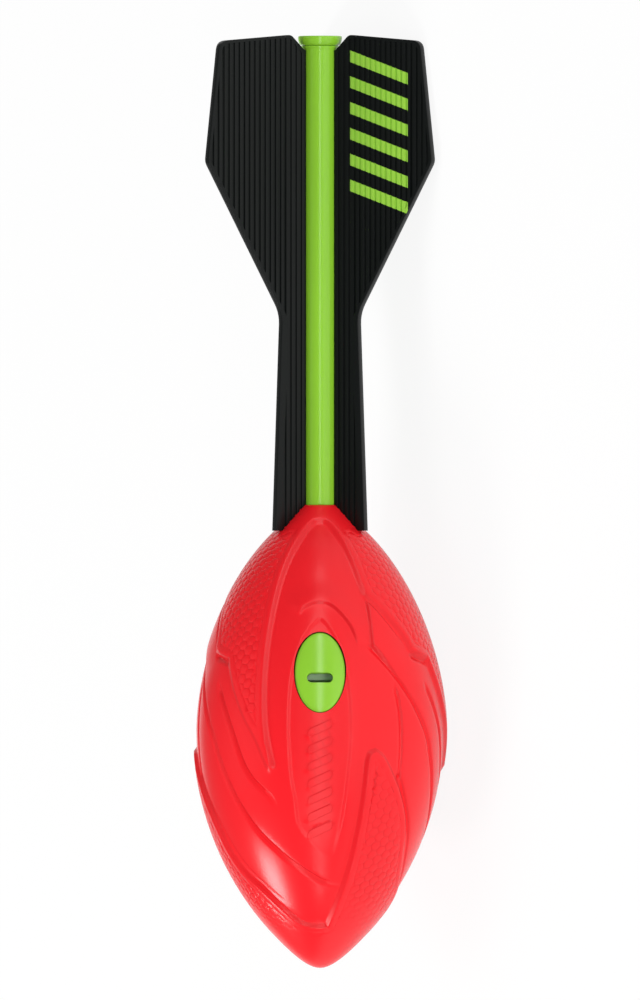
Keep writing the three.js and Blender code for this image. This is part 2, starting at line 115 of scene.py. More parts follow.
class HeadSizes(bpy.types.PropertyGroup):
    """Foam head"""

    length: length("Length", 161.5, "Nose to the mouth round the tube")
    radius: length("Radius", 44.4, "Of the fattest ring, over the raised pads")
    girth_at: length("Girth at", 83, "From the nose to the fattest ring")
    shoulder_at: length("Shoulder at", 152.2, "Where the cone round the tube starts")
    mouth_radius: length("Mouth radius", 6.8, "Outside of the foam's end round the tube")
    bore_radius: length("Bore radius", 6.4, "Of the hole that holds the tube")
    nose_ball: length("Nose ball", 6.5, "Radius that rounds the nose")
    pad_rise: length("Pad rise", 1.3, "Textured pads above the smooth panels")
    pad_bevel: length("Pad bevel", 2.2, "Width of the slope at a pad's edge")
    nose_bevel: length("Nose bevel", 1.5, "Width of the slope at the nose pad's edge")
    pad_margin: length("Pad margin", 2.2, "Smooth border round the cells of a pad")
    cell_pitch: length("Cell pitch", 3.4, "Between the six-sided cells")
    cell_groove: length("Cell groove", 0.15, "Depth of the lines between the cells")
    groove_depth: length("Groove depth", 0.9, "Of the long lines between the blades")
    groove_gentle: length("Gentle side", 1.9, "Width of a long line's gentle side")
    groove_steep: length("Steep side", 0.8, "Width of a long line's steep side")
    channel_depth: length("Channel depth", 0.8, "Of the finger channel round a whistle")
    channel_bevel: length("Channel bevel", 1.1, "Width of the channel's steep edge")
    channel_slope: length("Channel slope", 6, "Width of the gentle slope inside the edge")
    grip_width: length("Grip width", 9, "Of the slanted grip bars in the finger channel")
    grip_length: length("Grip length", 3.2, "Of one grip bar, along the toy")
    grip_pitch: length("Grip pitch", 6, "Between the grip bars")
    grip_from: length("Grip from", 48, "From the nose to the first grip bar")
    grip_rise: length("Grip rise", 0.24, "Of the grip bars")
    mesh_step: length("Mesh step", 1.5, "Between points on the smooth panels")


class WhistleSizes(bpy.types.PropertyGroup):
    """Whistles"""

    at: length("At", 103.6, "From the nose to the middle of the oval")
    half_width: length("Half width", 8.7, "Of the oval cover")
    half_length: length("Half length", 14.1, "Of the oval cover")
    gap: length("Gap", 0.3, "Between the cover and the foam")
    drop: length("Drop", 1, "Rim of the cover below the channel's floor at its middle")
    thickness: length("Thickness", 1.5, "Of the cover at its rim")
    dome: length("Dome", 1.3, "Middle of the cover above its rim")
    slot_length: length("Slot length", 9, "Of the air slot")
    slot_width: length("Slot width", 3.5, "Of the air slot")
    slot_offset: length("Slot offset", 2.1, "Towards the nose")
    pocket_depth: length("Pocket depth", 17.2, "Of the hole in the foam for the whistle")


class TailSizes(bpy.types.PropertyGroup):
    """Tube and cap"""

    tube_radius: length("Tube radius", 6.1, "Outside of the tube")
    tube_wall: length("Tube wall", 1.8, "Of the tube")
    tube_front: length("Tube front", 62, "From the nose to the buried end")
    flare_at: length("Flare at", 320.4, "Where the tube widens to its end")
    flare_length: length("Flare length", 1.2, "Of the widened end")
    flare_radius: length("Flare radius", 6.6, "Of the widened end and the cap's underside")
    cap_radius: length("Cap radius", 7.7, "Of the cap's rim")
    gap: length("Gap", 0.3, "Room round the cap's plug in the tube")
    parting: length("Parting line", 0.08, "Under the cap's rim")
    cap_thickness: length("Cap thickness", 3.1, "Of the cap outside the tube")


class FinSizes(bpy.types.PropertyGroup):
    """Fins"""

    edge_round: length("Edge rounding", 0.12, "Of the ribs and the outline")
    mark_pitch: length("Mark pitch", 9, "Between the printed bars")
    mark_from: length("Mark from", 275.3, "From the nose to the first bar, if it reached the axis")
    mark_inner: length("Mark inner", 12.5, "From the axis to the bars' inner ends")
    mark_outer: length("Mark outer", 36, "From the axis to the bars' outer ends")
    mark_slant: number("Mark slant", 0.35, "How much nearer the nose a bar is at its outer end")
    mark_width: number("Mark width", 0.45, "Of a bar, in shares of the pitch")
    marks: bpy.props.IntProperty(name="Marks", description="How many bars there are", default=6)


class Finishes(bpy.types.PropertyGroup):
    """Colours"""

    foam: colour("Foam", "#ee1b24", "Red skin of the foam")
    # Painted shade: the steep walls of the relief are painted this darker red, which stands in for the
    # shade on them
    foam_painted_shade: colour("Foam on walls", "#e01a22", "Skin on the steep walls of the relief")
    # Painted shade: the pocket walls are painted dark brown, which stands in for the shade in the gap
    # round each whistle's oval
    foam_pocket_painted_shade: colour("Foam in pockets", "#5a1408", "Glued foam in the whistle pockets")
    green: colour("Green", "#8dcb31", "Tube, cap and whistles")
    black: colour("Black", "#080c0b", "Fins")
    print_green: colour("Print", "#93c941", "Bars printed on one fin")
    # Painted light: the inside of the whistles is painted this pale, which stands in for the light that
    # hardly reaches it through the slot
    chamber_painted_light: colour("Chamber", "#c8e6bc", "Inside of the whistles")
    hidden: colour("Hidden", "#9aa39a", "Anchor inside the foam")
    floor: colour("Floor", "#fbfbfb", "Studio floor")
    floor_white: number("Floor white", 0.9, "How far the camera sees the floor as plain white")


class Studio(bpy.types.PropertyGroup):
    """Camera and light"""

    look_at: length("Look at", 163.2, "Place on the toy's axis in the middle of the picture")
    frame_height: length("Frame height", 348.7, "What the picture takes in at that place")
    camera_distance: length("Camera distance", 9000, "From that place to the camera")
    sky: number("Sky", 0.15, "Strength of the even light all round")
    ceiling: number("Ceiling", 0.25, "How bright the dark ceiling looks")
    key: number("Key", 21.5, "Power of the soft box behind the nose, in watts")
    low: number("Low", 15, "Power of the fill light just above the floor, in watts")
    top: number("Top", 16, "Power of the fill light above, in watts")
    strip: number("Strip", 7, "Power of each of the long lights in front, in watts")


GROUPS = {
    "toy_head": HeadSizes,
    "toy_whistle": WhistleSizes,
    "toy_tail": TailSizes,
    "toy_fin": FinSizes,
    "toy_finish": Finishes,
    "toy_studio": Studio,
}


# Lines of the head's relief. Each point is given in degrees from the middle of a whistle and as a
# share of the head's length from the nose, and all lines repeat on every third.

HOOD_EDGE_SHARES = [
    (0, 0.9731), (7.4, 0.9723), (13.6, 0.9687), (19.9, 0.9594), (24.2, 0.9421), (27.4, 0.9169),
    (29.2, 0.8809), (30.1, 0.8414), (31.1, 0.8111),
]
BLADE_EDGE_SHARES = [
    (31.1, 0.8111), (33.8, 0.8012), (38.1, 0.7845), (43.3, 0.7628), (48.5, 0.738),
    (52.5, 0.715), (54.3, 0.6942),
]
NOTCH_SHARES = [(54.3, 0.6942), (57, 0.6872), (62, 0.681), (68.6, 0.6744)]
PAD_BACK_SHARES = [(68.6, 0.6744), (76.1, 0.6075), (83.6, 0.5463), (89.9, 0.4995), (96.1, 0.4347)]
NEXT_HOOD_SHARES = [
    (96.1, 0.4347), (93.6, 0.4959), (92.4, 0.5391), (91.4, 0.5967), (90.8, 0.6542),
    (90.2, 0.7118), (89.9, 0.7622), (89.5, 0.8198), (89.7, 0.8629), (91, 0.9), (94, 0.9313),
    (98, 0.9529), (103, 0.9651), (110, 0.9715), (120, 0.9731),
]
NOSE_LEFT_SHARES = [
    (8.6, 0.0871), (13.6, 0.1289), (17.1, 0.172), (19.2, 0.2152), (20.9, 0.28), (22.4, 0.3664),
    (23.4, 0.4527), (26.5, 0.4686),
]
NOSE_BACK_SHARES = [
    (26.5, 0.4686), (30.5, 0.454), (36.6, 0.412), (41.9, 0.374), (46.8, 0.3347), (50.7, 0.298),
    (55.8, 0.245), (63.4, 0.2), (74, 0.165), (87.5, 0.121), (98, 0.0965), (109.9, 0.0878),
    (128.6, 0.0871),
]
CHANNEL_LEFT_SHARES = [
    (6.5, 0.24), (0, 0.252), (-4.5, 0.268), (-8.9, 0.2872), (-12.4, 0.316), (-13.2, 0.3664),
    (-14.8, 0.4239), (-15.6, 0.5319), (-15.1, 0.6255), (-13.2, 0.6758), (-9.6, 0.719),
    (-3.9, 0.7514),
]
CHANNEL_TOP_SHARES = [(-3.9, 0.7514), (0, 0.762), (3.9, 0.7514)]
CHANNEL_RIGHT_SHARES = [
    (3.9, 0.7514), (9.6, 0.7154), (13, 0.6758), (14.9, 0.5967), (15.2, 0.4959), (14.2, 0.4239),
    (12.6, 0.3376), (10.5, 0.28), (8.8, 0.248), (6.5, 0.24),
]

# Long lines: degrees, share of the head's length, and share of the full depth
LONG_LINE_SHARES = [
    (25.4, 0.705, 0), (27.4, 0.6955, 0.8), (31.4, 0.679, 1), (36.3, 0.6553, 1),
    (41.4, 0.6283, 1), (46.7, 0.5981, 1), (51.6, 0.5665, 1), (60.4, 0.5031, 1),
    (63.8, 0.4664, 1), (71, 0.3951, 1), (77, 0.3455, 1), (85, 0.2958, 1), (94.4, 0.258, 1),
    (99.6, 0.2397, 1), (107.2, 0.2181, 1), (116.9, 0.1965, 1), (122.8, 0.1868, 1),
    (134, 0.178, 0),
]
MIDDLE_LINE_SHARES = [
    (61.2, 0.6218, 0), (64.5, 0.598, 1), (70, 0.5571, 1), (75.8, 0.5052, 1), (81.1, 0.4448, 1),
    (85.6, 0.4124, 1), (91.1, 0.3886, 0.8), (95.9, 0.3671, 0.4), (97.7, 0.3455, 0),
]
UPRIGHT_LINE_SHARES = [(37.8, 0.6244, 0), (39.9, 0.595, 1), (41.2, 0.5319, 1), (41.4, 0.4167, 0.8)]
LOWER_LINE_SHARES = [
    (41.4, 0.4167, 0.8), (47.4, 0.3628, 0.9), (53.6, 0.316, 0.8), (64.9, 0.2273, 0.5),
    (77.4, 0.1777, 0.5), (91.1, 0.1395, 0),
]
NOTCH_LINE_SHARES = [
    (53, 0.682, 0), (56, 0.6765, 1.2), (61, 0.672, 1.3), (66, 0.667, 1), (68.5, 0.663, 0),
]
NOSE_LINE_SHARES = [
    (26.5, 0.4491, 0), (26.8, 0.4275, 0.5), (26.4, 0.3908, 0.5), (25.6, 0.3584, 0.2),
    (24.8, 0.32, 0),
]

# Edge of the raised blade in front of a pad's slanted edge
BLADE_SIDE_SHARES = [(29.4, 0.7989), (29.1, 0.7902), (28.6, 0.7687), (28.1, 0.7406), (27.4, 0.708)]
BLADE_FOOT_SHARES = [
    (27.4, 0.708), (28.2, 0.6965), (31.4, 0.683), (36.3, 0.6593), (41.4, 0.6323),
    (46.7, 0.6021), (51.6, 0.5705),
]
BLADE_TOP_SHARES = [
    (51.6, 0.5705), (56, 0.62), (52.4, 0.6909), (47.1, 0.7201), (42.1, 0.7471), (37.1, 0.7719),
    (32.9, 0.7892), (29.4, 0.7989),
]

# The lip over a whistle: degrees, share of the head's length, and share of the full height
LIP_SHARES = [
    (-13, 0.7666, 0), (-10.5, 0.781, 1), (-7.6, 0.7874, 1), (-3.9, 0.7931, 1), (0, 0.7946, 1),
    (4.9, 0.7924, 1), (9.9, 0.7802, 1), (14.9, 0.7586, 1), (18.6, 0.7334, 1), (21.1, 0.6938, 0),
]


# Shape of the head


def soft_ramp(x, width, softness=0.12 * MM):
    """From 0 to 1 while x goes from 0 to width, with rounded corners."""

    def rounded(v):
        return (v + np.sqrt(v * v + softness * softness)) / 2

    return (rounded(x) - rounded(x - width)) / width


def ease(x):
    """From 0 to 1 while x goes from 0 to 1, starting and ending level."""
    x = np.clip(x, 0, 1)
    return x * x * (3 - 2 * x)


def turns_of(count, shift=0):
    """Angles once round, evenly spread."""
    return (np.arange(count) + shift) * 2 * math.pi / count


def tree_of(points):
    """A tree that finds which of these points is nearest to a place."""
    tree = KDTree(len(points))
    for i, point in enumerate(points):
        tree.insert(point, i)
    tree.balance()
    return tree


class Head:
    """The head's outline, and its skin laid flat.

    The flat skin looks like the head seen from its nose, stretched so that small shapes keep
    their form: the nose is at zero and the mouth round the tube is the circle of radius 1.
    """

    NOSE_FULLNESS = 0.75  # lower makes the nose blunter
    TAIL_ONSET = 1.8  # higher keeps it fat further back
    TAIL_FULLNESS = 0.63  # lower makes the back end blunter
    BLEND = 4  # higher joins the ball at the nose to the egg more sharply
    ROWS = 6000
    NEAREST = 1e-6  # of the full circle, from where the nose is a point
    NUDGE = 0.2 * MM  # either way, to measure the slope

    def __init__(self, sizes):
        self.sizes = sizes
        self.s = np.maximum(np.linspace(0, 1, self.ROWS) ** 2, 1e-9) * sizes.length
        radius = self.radius_at(self.s)
        step = np.hypot(np.diff(self.s), np.diff(radius))
        self.arc = np.concatenate([[0], np.cumsum(step)])
        self.climb = np.concatenate([[0], np.cumsum(step * 2 / (radius[1:] + radius[:-1]))])

    def egg_at(self, s):
        """Radius at s from the nose, as if the egg had no cone."""
        z = self.sizes
        ahead = 1 - (1 - np.minimum(s, z.girth_at) / z.girth_at) ** 2
        along = np.clip((s - z.girth_at) / (z.length - z.girth_at), 0, 1)
        behind = 1 - along**self.TAIL_ONSET
        shape = np.where(s < z.girth_at, ahead**self.NOSE_FULLNESS, behind**self.TAIL_FULLNESS)
        ball = np.sqrt(np.maximum((2 * z.nose_ball - s) * s, 0))
        return ((z.radius * shape) ** self.BLEND + ball**self.BLEND) ** (1 / self.BLEND)

    def radius_at(self, s):
        """Radius at s from the nose."""
        z = self.sizes
        shoulder = self.egg_at(z.shoulder_at)
        cone = np.clip((s - z.shoulder_at) / (z.length - z.shoulder_at), 0, 1)
        on_cone = shoulder + (z.mouth_radius - shoulder) * cone
        return np.where(s < z.shoulder_at, self.egg_at(s), on_cone)

    def flat(self, turns, s):
        """Spots on the flat skin."""
        far = np.exp(np.interp(s, self.s, self.climb) - self.climb[-1])
        return np.column_stack([far * np.cos(turns), far * np.sin(turns)])

    def s_of(self, spots):
        """Distance along the axis from the nose."""
        far = np.maximum(np.hypot(*spots.T), self.NEAREST)
        return np.interp(np.log(far) + self.climb[-1], self.climb, self.s)

    def scale(self, spots):
        """Real size of a unit of the flat skin."""
        far = np.maximum(np.hypot(*spots.T), self.NEAREST)
        return self.radius_at(self.s_of(spots)) / far

    def slope_at(self, s):
        ahead = np.minimum(s + self.NUDGE, self.sizes.length)
        behind = np.maximum(s - self.NUDGE, 0)
        return (self.radius_at(ahead) - self.radius_at(behind)) / (ahead - behind)

    def points(self, spots, height):
        """Places on the skin in the toy's frame, raised square to the skin."""
        s = self.s_of(spots)
        slope = self.slope_at(s)
        size = np.hypot(1, slope)
        out = self.radius_at(s) + height / size
        turns = np.arctan2(spots[:, 1], spots[:, 0])
        along = s - height * slope / size
        return np.column_stack([out * np.cos(turns), out * np.sin(turns), along])

    def stroke(self, rows, turn=0, step=0.5 * MM):
        """Spots along a smooth line through rows of degrees, shares and values, and the values."""
        table = np.array([[*row[:2], row[2] if len(row) > 2 else 1] for row in rows], float)
        climb = np.interp(table[:, 1] * self.sizes.length, self.s, self.climb)
        knots = np.column_stack([np.radians(table[:, 0]), climb])
        ends = np.vstack([2 * knots[0] - knots[1], knots, 2 * knots[-1] - knots[-2]])
        line, values = [], []
        for i in range(len(knots) - 1):
            a, b, c, d = ends[i : i + 4]
            radius = self.radius_at(np.interp((b[1] + c[1]) / 2, self.climb, self.s))
            steps = max(2, math.ceil(np.linalg.norm(c - b) * radius / step))
            t = (np.arange(steps) / steps)[:, None]
            line.append(b + (c - a) * t / 2 + (2 * a - 5 * b + 4 * c - d) * t**2 / 2)
            line[-1] += (3 * b - a - 3 * c + d) * t**3 / 2
            values.append(table[i, 2] + (table[i + 1, 2] - table[i, 2]) * t[:, 0])
        line = np.vstack([*line, knots[-1:]])
        far = np.exp(line[:, 1] - self.climb[-1])
        turns = line[:, 0] + turn
        spots = np.column_stack([far * np.cos(turns), far * np.sin(turns)])
        return spots, np.append(np.concatenate(values), table[-1, 2])


class Track:
    """A line on the flat skin with its copies on the other thirds."""

    def __init__(self, head, strokes, closed=False, joined=False):
        """strokes meet end to end. closed goes back to the start, joined goes on into the next third."""
        self.head = head
        loops = []
        for k in range(COPIES):
            parts = [head.stroke(rows, k * THIRD) for rows in strokes]
            spots = np.vstack([part[0][:-1] for part in parts] + [parts[-1][0][-1:]])
            values = np.concatenate([part[1][:-1] for part in parts] + [parts[-1][1][-1:]])
            cut = -1 if closed or joined else None
            loops.append((spots[:cut], values[:cut]))
        if joined:
            loops = [tuple(np.concatenate(parts) for parts in zip(*loops))]
        self.loops = [spots for spots, _ in loops]
        self.spots = np.vstack(self.loops)
        self.values = np.concatenate([values for _, values in loops])
        before, after, start = [], [], 0
        for spots, _ in loops:
            index = np.arange(start, start + len(spots))
            before.append(np.roll(index, 1))
            after.append(np.roll(index, -1))
            if not (closed or joined):
                before[-1][0] = index[0]
                after[-1][-1] = index[-1]
            start += len(spots)
        self.before, self.after = np.concatenate(before), np.concatenate(after)
        self.tree = tree_of([(x, y, 0) for x, y in self.spots])

    def measure(self, spots):
        """Real distance of each spot, positive on the left of the line, and the line's value there."""
        found = np.array([self.tree.find((x, y, 0))[1] for x, y in spots])
        best = np.full(len(spots), np.inf)
        side = np.zeros(len(spots))
        value = np.zeros(len(spots))
        for a, b in ((self.before[found], found), (found, self.after[found])):
            way = self.spots[b] - self.spots[a]
            size = (way**2).sum(1)
            off = spots - self.spots[a]
            t = np.clip((off * way).sum(1) / np.maximum(size, 1e-30), 0, 1)
            gap = np.hypot(*(off - t[:, None] * way).T)
            closer = (gap < best) & (size > 0)
            best = np.where(closer, gap, best)
            left = way[:, 0] * off[:, 1] - way[:, 1] * off[:, 0]
            side = np.where(closer, np.sign(left), side)
            value = np.where(closer, self.values[a] + t * (self.values[b] - self.values[a]), value)
        return best * side * self.head.scale(spots), value

    def depth(self, spots):
        """Real distance of each spot from closed lines, positive inside them."""
        away = np.abs(self.measure(spots)[0])
        return np.where(inside(self.loops, spots), away, -away)

    def inward(self):
        """1 for a closed line that has its inside on its left, otherwise -1."""
        return 1 if inside(self.loops, self.beside(0.5 * MM)[:1])[0] else -1

    def beside(self, offset, every=2):
        """Spots beside the line, offset to its left."""
        way = self.spots[self.after] - self.spots[self.before]
        way /= np.maximum(np.hypot(*way.T), 1e-30)[:, None]
        square = np.column_stack([-way[:, 1], way[:, 0]])
        moved = self.spots + square * (offset / self.head.scale(self.spots))[:, None]
        return moved[::every]


def inside(loops, spots):
    """Whether each spot lies inside one of the closed lines."""
    x, y = spots.T
    found = np.zeros(len(spots), bool)
    for loop in loops:
        for (x0, y0), (x1, y1) in zip(loop, np.roll(loop, -1, axis=0)):
            near = np.flatnonzero((y0 > y) != (y1 > y))
            if len(near):
                cut = x0 + (x1 - x0) * (y[near] - y0) / (y1 - y0)
                found[near[x[near] < cut]] ^= True
    return found


class Relief:
    """What stands out from the head and what is sunk into it."""

    FADE = 6 * MM
    MARGIN_HALF = 0.3 * MM
    BLADE_RISE = 1.1 * MM
    BLADE_WALL = 1.1 * MM
    BLADE_REACH = 20 * MM
    LIP_HEIGHT = 1.1 * MM
    LIP_FRONT = 0.7 * MM
    LIP_WIDTH = 8 * MM
    CHANNEL_END = 0.22  # the channel runs out towards the nose, in shares of the length
    CHANNEL_FADE = 0.12
    MARGIN_END = 0.96  # the line round the cells runs out towards the tail
    MARGIN_FADE = 1 / 60
    BESIDE = 0.3 * MM  # corners this far beside a wall keep it crisp

    def __init__(self, head):
        self.head = head
        upper = (
            HOOD_EDGE_SHARES,
            BLADE_EDGE_SHARES,
            NOTCH_SHARES,
            PAD_BACK_SHARES,
            NEXT_HOOD_SHARES,
        )
        self.upper = Track(head, upper, joined=True)
        self.lower = Track(head, (NOSE_LEFT_SHARES, NOSE_BACK_SHARES), joined=True)
        channel = (CHANNEL_LEFT_SHARES, CHANNEL_TOP_SHARES, CHANNEL_RIGHT_SHARES)
        self.channel = Track(head, channel, closed=True)
        tables = (
            LONG_LINE_SHARES,
            MIDDLE_LINE_SHARES,
            UPRIGHT_LINE_SHARES,
            LOWER_LINE_SHARES,
            NOTCH_LINE_SHARES,
            NOSE_LINE_SHARES,
        )
        self.lines = [Track(head, (rows,)) for rows in tables]
        blade = (BLADE_SIDE_SHARES, BLADE_FOOT_SHARES, BLADE_TOP_SHARES)
        self.blade = Track(head, blade, closed=True)
        self.side = Track(head, (BLADE_SIDE_SHARES,))
        self.lip = Track(head, (LIP_SHARES,))

    def pad_depths(self, spots):
        """How far each spot lies inside the back pad and the nose pad, negative outside."""
        return -self.upper.depth(spots), self.lower.depth(spots)

    def height(self, spots):
        """Height above the head's outline, which runs over the raised pads."""
        z = self.head.sizes
        s = self.head.s_of(spots)
        share = s / z.length
        fade = ease(s / self.FADE) * ease((z.length - s) / (self.FADE / 2))
        upper, lower = self.pad_depths(spots)
        depth = np.maximum(upper, lower)
        low = 1 - soft_ramp(upper + z.pad_bevel, z.pad_bevel)
        low = np.minimum(low, 1 - soft_ramp(lower + z.nose_bevel, z.nose_bevel))
        height = -z.pad_rise * fade * low
        margin = np.clip(1 - np.abs(depth - z.pad_margin) / self.MARGIN_HALF, 0, 1)
        height -= z.cell_groove * margin * ease((self.MARGIN_END - share) / self.MARGIN_FADE)
        fall = ease((share - self.CHANNEL_END) / self.CHANNEL_FADE)
        depth = self.channel.depth(spots)
        hollow = (soft_ramp(depth, z.channel_bevel) + soft_ramp(depth, z.channel_slope, MM)) / 2
        height -= z.channel_depth * fall * hollow
        for track in self.lines:
            off, value = track.measure(spots)
            gentle = soft_ramp(z.groove_gentle - off, z.groove_gentle)
            steep = soft_ramp(z.groove_steep + off, z.groove_steep)
            height -= z.groove_depth * value * np.minimum(gentle, steep)
        away = np.abs(self.side.measure(spots)[0])
        rise = soft_ramp(self.blade.depth(spots), self.BLADE_WALL)
        height += self.BLADE_RISE * low * (1 - ease(away / self.BLADE_REACH)) * rise
        off, value = self.lip.measure(spots)
        rise = ease(1 + off / self.LIP_WIDTH) * soft_ramp(self.LIP_FRONT - off, self.LIP_FRONT)
        return height + self.LIP_HEIGHT * value * low * rise

    def rows(self):
        """Rows of spots that follow every line of the relief, for the corners of the mesh."""
        z = self.head.sizes
        margin = [z.pad_margin - self.MARGIN_HALF, z.pad_margin, z.pad_margin + self.MARGIN_HALF]
        for track, side, width in ((self.upper, -1, z.pad_bevel), (self.lower, 1, z.nose_bevel)):
            bevel = [-width - 0.2 * MM, -width, -width * 0.65, -width * 0.3, 0, self.BESIDE]
            yield [track.beside(offset * side * track.inward()) for offset in bevel + margin]
        sides = [-z.groove_steep - self.BESIDE, -z.groove_steep, -z.groove_steep / 2, 0]
        sides += [z.groove_gentle / 2, z.groove_gentle, z.groove_gentle + 0.4 * MM]
        yield self.wall(self.channel, z.channel_bevel)
        for track in self.lines:
            yield [track.beside(offset) for offset in sides]
        yield self.wall(self.blade, self.BLADE_WALL)
        front = [self.LIP_FRONT + self.BESIDE, self.LIP_FRONT, self.LIP_FRONT / 2, 0]
        yield [self.lip.beside(offset) for offset in [*front, -0.5 * MM, -1.2 * MM]]

    def wall(self, track, width):
        """Rows of spots across the wall inside a closed line."""
        offsets = [-self.BESIDE, 0, width / 2, width, width + self.BESIDE]
        return [track.beside(offset * track.inward()) for offset in offsets]


def trimmed(corners, level):
    """The part of a flat cell where level, a function of its points, is above zero."""
    kept = []
    values = level(corners)
    for i in range(len(corners)):
        a, b = corners[i - 1], corners[i]
        u, v = values[i - 1], values[i]
        if (u > 0) != (v > 0):
            kept.append(a + (b - a) * u / (u - v))
        if v > 0:
            kept.append(b)
    return np.array(kept)


def inner_radius(corners, middle):
    """How far the middle of a cell is from its nearest side."""
    way = np.roll(corners, -1, axis=0) - corners
    off = middle - corners
    size = np.maximum(np.hypot(*way.T), 1e-9)
    return (np.abs(way[:, 0] * off[:, 1] - way[:, 1] * off[:, 0]) / size).min()


class Cells:
    """The six-sided cells of the pads, as rings of corners."""

    MIDDLE = math.radians(60)  # the rows of cells run straight here
    FIRST = 0.06  # the cells start and end at these shares of the length
    LAST = 0.953
    INSETS = (0.05 * MM, 0.18 * MM, 0.34 * MM)
    LEVELS = (-1, -0.25, 0)  # in shares of the groove's depth
    CROWN = 0.03 * MM
    FADE = (0.06, 0.2)  # the cells grow to full depth between these shares of the length
    SMALLEST = 0.7 * MM
    CUT_OFF = 0.1 * MM  # a cell with less room than this is left out

    def __init__(self, head, relief):
        z = head.sizes
        self.head = head
        self.rings = []
        pitch = z.cell_pitch
        aside = pitch * math.sqrt(3) / 2
        arcs = np.interp([self.FIRST * z.length, self.LAST * z.length], head.s, head.arc)
        columns = round(THIRD / 2 * z.radius / aside)
        middles = []
        for i in range(-columns, columns + 1):
            for j in range(math.ceil(arcs[0] / pitch), math.floor(arcs[1] / pitch)):
                middles.append((i * aside, (j + i % 2 / 2) * pitch))
        middles = np.array(middles)
        angles = np.radians(np.arange(6) * 60)
        shape = np.column_stack([np.cos(angles), np.sin(angles)]) * pitch / math.sqrt(3)
        corners = middles[:, None] + shape[None]
        depths = relief.pad_depths(self.spots(corners.reshape(-1, 2)))
        depth = np.maximum(*depths).reshape(-1, 6) - z.pad_margin
        radius = head.radius_at(self.s_at(corners[..., 1]))
        seam = THIRD / 2 * radius - np.abs(corners[..., 0])
        room = np.minimum(depth, seam)
        for cell, middle, here in zip(corners, middles, room):
            if here.max() <= self.CUT_OFF:
                continue
            if here.min() < 0:
                # The room that the corners have is taken to change evenly across the cell
                fit = np.column_stack([cell - middle, np.ones(6)])
                slope = np.linalg.lstsq(fit, here, rcond=None)[0]
                cell = trimmed(cell, lambda p: (p - middle) @ slope[:2] + slope[2])
            share = self.s_at(middle[1]) / z.length
            strength = ease((share - self.FADE[0]) / (self.FADE[1] - self.FADE[0]))
            if len(cell) > 2 and strength > 0:
                self.add(cell, strength * z.cell_groove)

    def s_at(self, arc):
        """Distance along the axis from the nose, of a length along the skin."""
        return np.interp(arc, self.head.arc, self.head.s)

    def spots(self, corners, turn=0):
        """Spots of corners that are measured across and along the skin."""
        s = self.s_at(corners[:, 1])
        return self.head.flat(self.MIDDLE + turn + corners[:, 0] / self.head.radius_at(s), s)

    def add(self, corners, groove):
        """Adds the rings of one cell on every third."""
        middle = corners.mean(0)
        radius = inner_radius(corners, middle)
        if radius < self.SMALLEST:
            return
        for k in range(COPIES):
            for inset, level in zip(self.INSETS, self.LEVELS):
                ring = middle + (corners - middle) * (1 - inset / radius)
                self.rings.append((self.spots(ring, k * THIRD), groove * level))
            self.rings.append((self.spots(middle[None], k * THIRD), self.CROWN))


class Net:
    """Corners and edges that the skin of the head is triangulated from."""

    MERGE = 1e-8

    def __init__(self, head):
        self.head = head
        self.spots = np.zeros((0, 2))
        self.heights = np.zeros(0)
        self.edges = []

    def loop(self, spots):
        """Keeps a closed line at the relief's height, and says which corners it has."""
        start = len(self.spots)
        self.loops([(spots, np.nan)])
        return np.arange(start, start + len(spots))

    def loops(self, rings):
        """Keeps closed lines, each with the height of its spots."""
        spots, heights = [], []
        start = len(self.spots)
        for ring, height in rings:
            count = len(ring)
            if count > 1:
                self.edges += [(start + i, start + (i + 1) % count) for i in range(count)]
            spots.append(ring)
            heights += [height] * count
            start += count
        self.spots = np.vstack([self.spots, *spots])
        self.heights = np.append(self.heights, heights)

    def scatter(self, spots, gap):
        """Adds the spots that are at least gap from all others so far."""
        tree = tree_of(self.head.points(self.spots, 0))
        away = np.array([tree.find(point)[2] for point in self.head.points(spots, 0)])
        spots = spots[away > gap]
        self.spots = np.vstack([self.spots, spots])
        self.heights = np.append(self.heights, np.full(len(spots), np.nan))

    def triangles(self):
        """Spots, heights, triangles, and the new number of each old corner."""
        corners = [Vector(spot) for spot in self.spots]
        made = delaunay_2d_cdt(corners, self.edges, [], 0, self.MERGE, True)
        spots = np.array([tuple(v) for v in made[0]])
        heights = np.full(len(spots), np.nan)
        moved = np.zeros(len(self.spots), int)
        for new, old in enumerate(made[3]):
            for i in old:
                moved[i] = new
                if not np.isnan(self.heights[i]):
                    heights[new] = self.heights[i]
        return spots, heights, np.array([tuple(face) for face in made[2]]), moved


def lattice(head, step):
    """Evenly spread spots over the whole head."""
    total = head.arc[-1]
    rows = round(total / (step * math.sqrt(3) / 2))
    spots = []
    for row in range(1, rows):
        s = np.interp(total * row / rows, head.arc, head.s)
        count = max(3, round(2 * math.pi * head.radius_at(s) / step))
        spots.append(head.flat(turns_of(count, row % 2 / 2), s))
    return np.vstack(spots)


# Pieces


def whistle_seat(head, whistle, k):
    """Turns places on a whistle, X across, Y towards the tail and Z out, into the toy's frame."""
    z = head.sizes
    nudge = 0.5 * MM
    slope = (head.radius_at(whistle.at + nudge) - head.radius_at(whistle.at - nudge)) / (2 * nudge)
    radius = head.radius_at(whistle.at) - z.pad_rise - z.channel_depth
    out = Vector((1, 0, -slope)).normalized()
    along = Vector((slope, 0, 1)).normalized()
    seat = Matrix((along.cross(out), along, out)).transposed().to_4x4()
    seat = Matrix.Translation((float(radius), 0, whistle.at)) @ seat
    return Matrix.Rotation(k * THIRD, 4, "Z") @ seat


def make_object(name, points, faces):
    """An object made of points and faces."""
    mesh = bpy.data.meshes.new(name)
    mesh.from_pydata(points, [], faces)
    mesh.update()
    made = bpy.data.objects.new(name, mesh)
    bpy.context.collection.objects.link(made)
    return made


def only(obj):
    """Selects this object alone."""
    bpy.ops.object.select_all(action="DESELECT")
    obj.select_set(True)
    bpy.context.view_layer.objects.active = obj


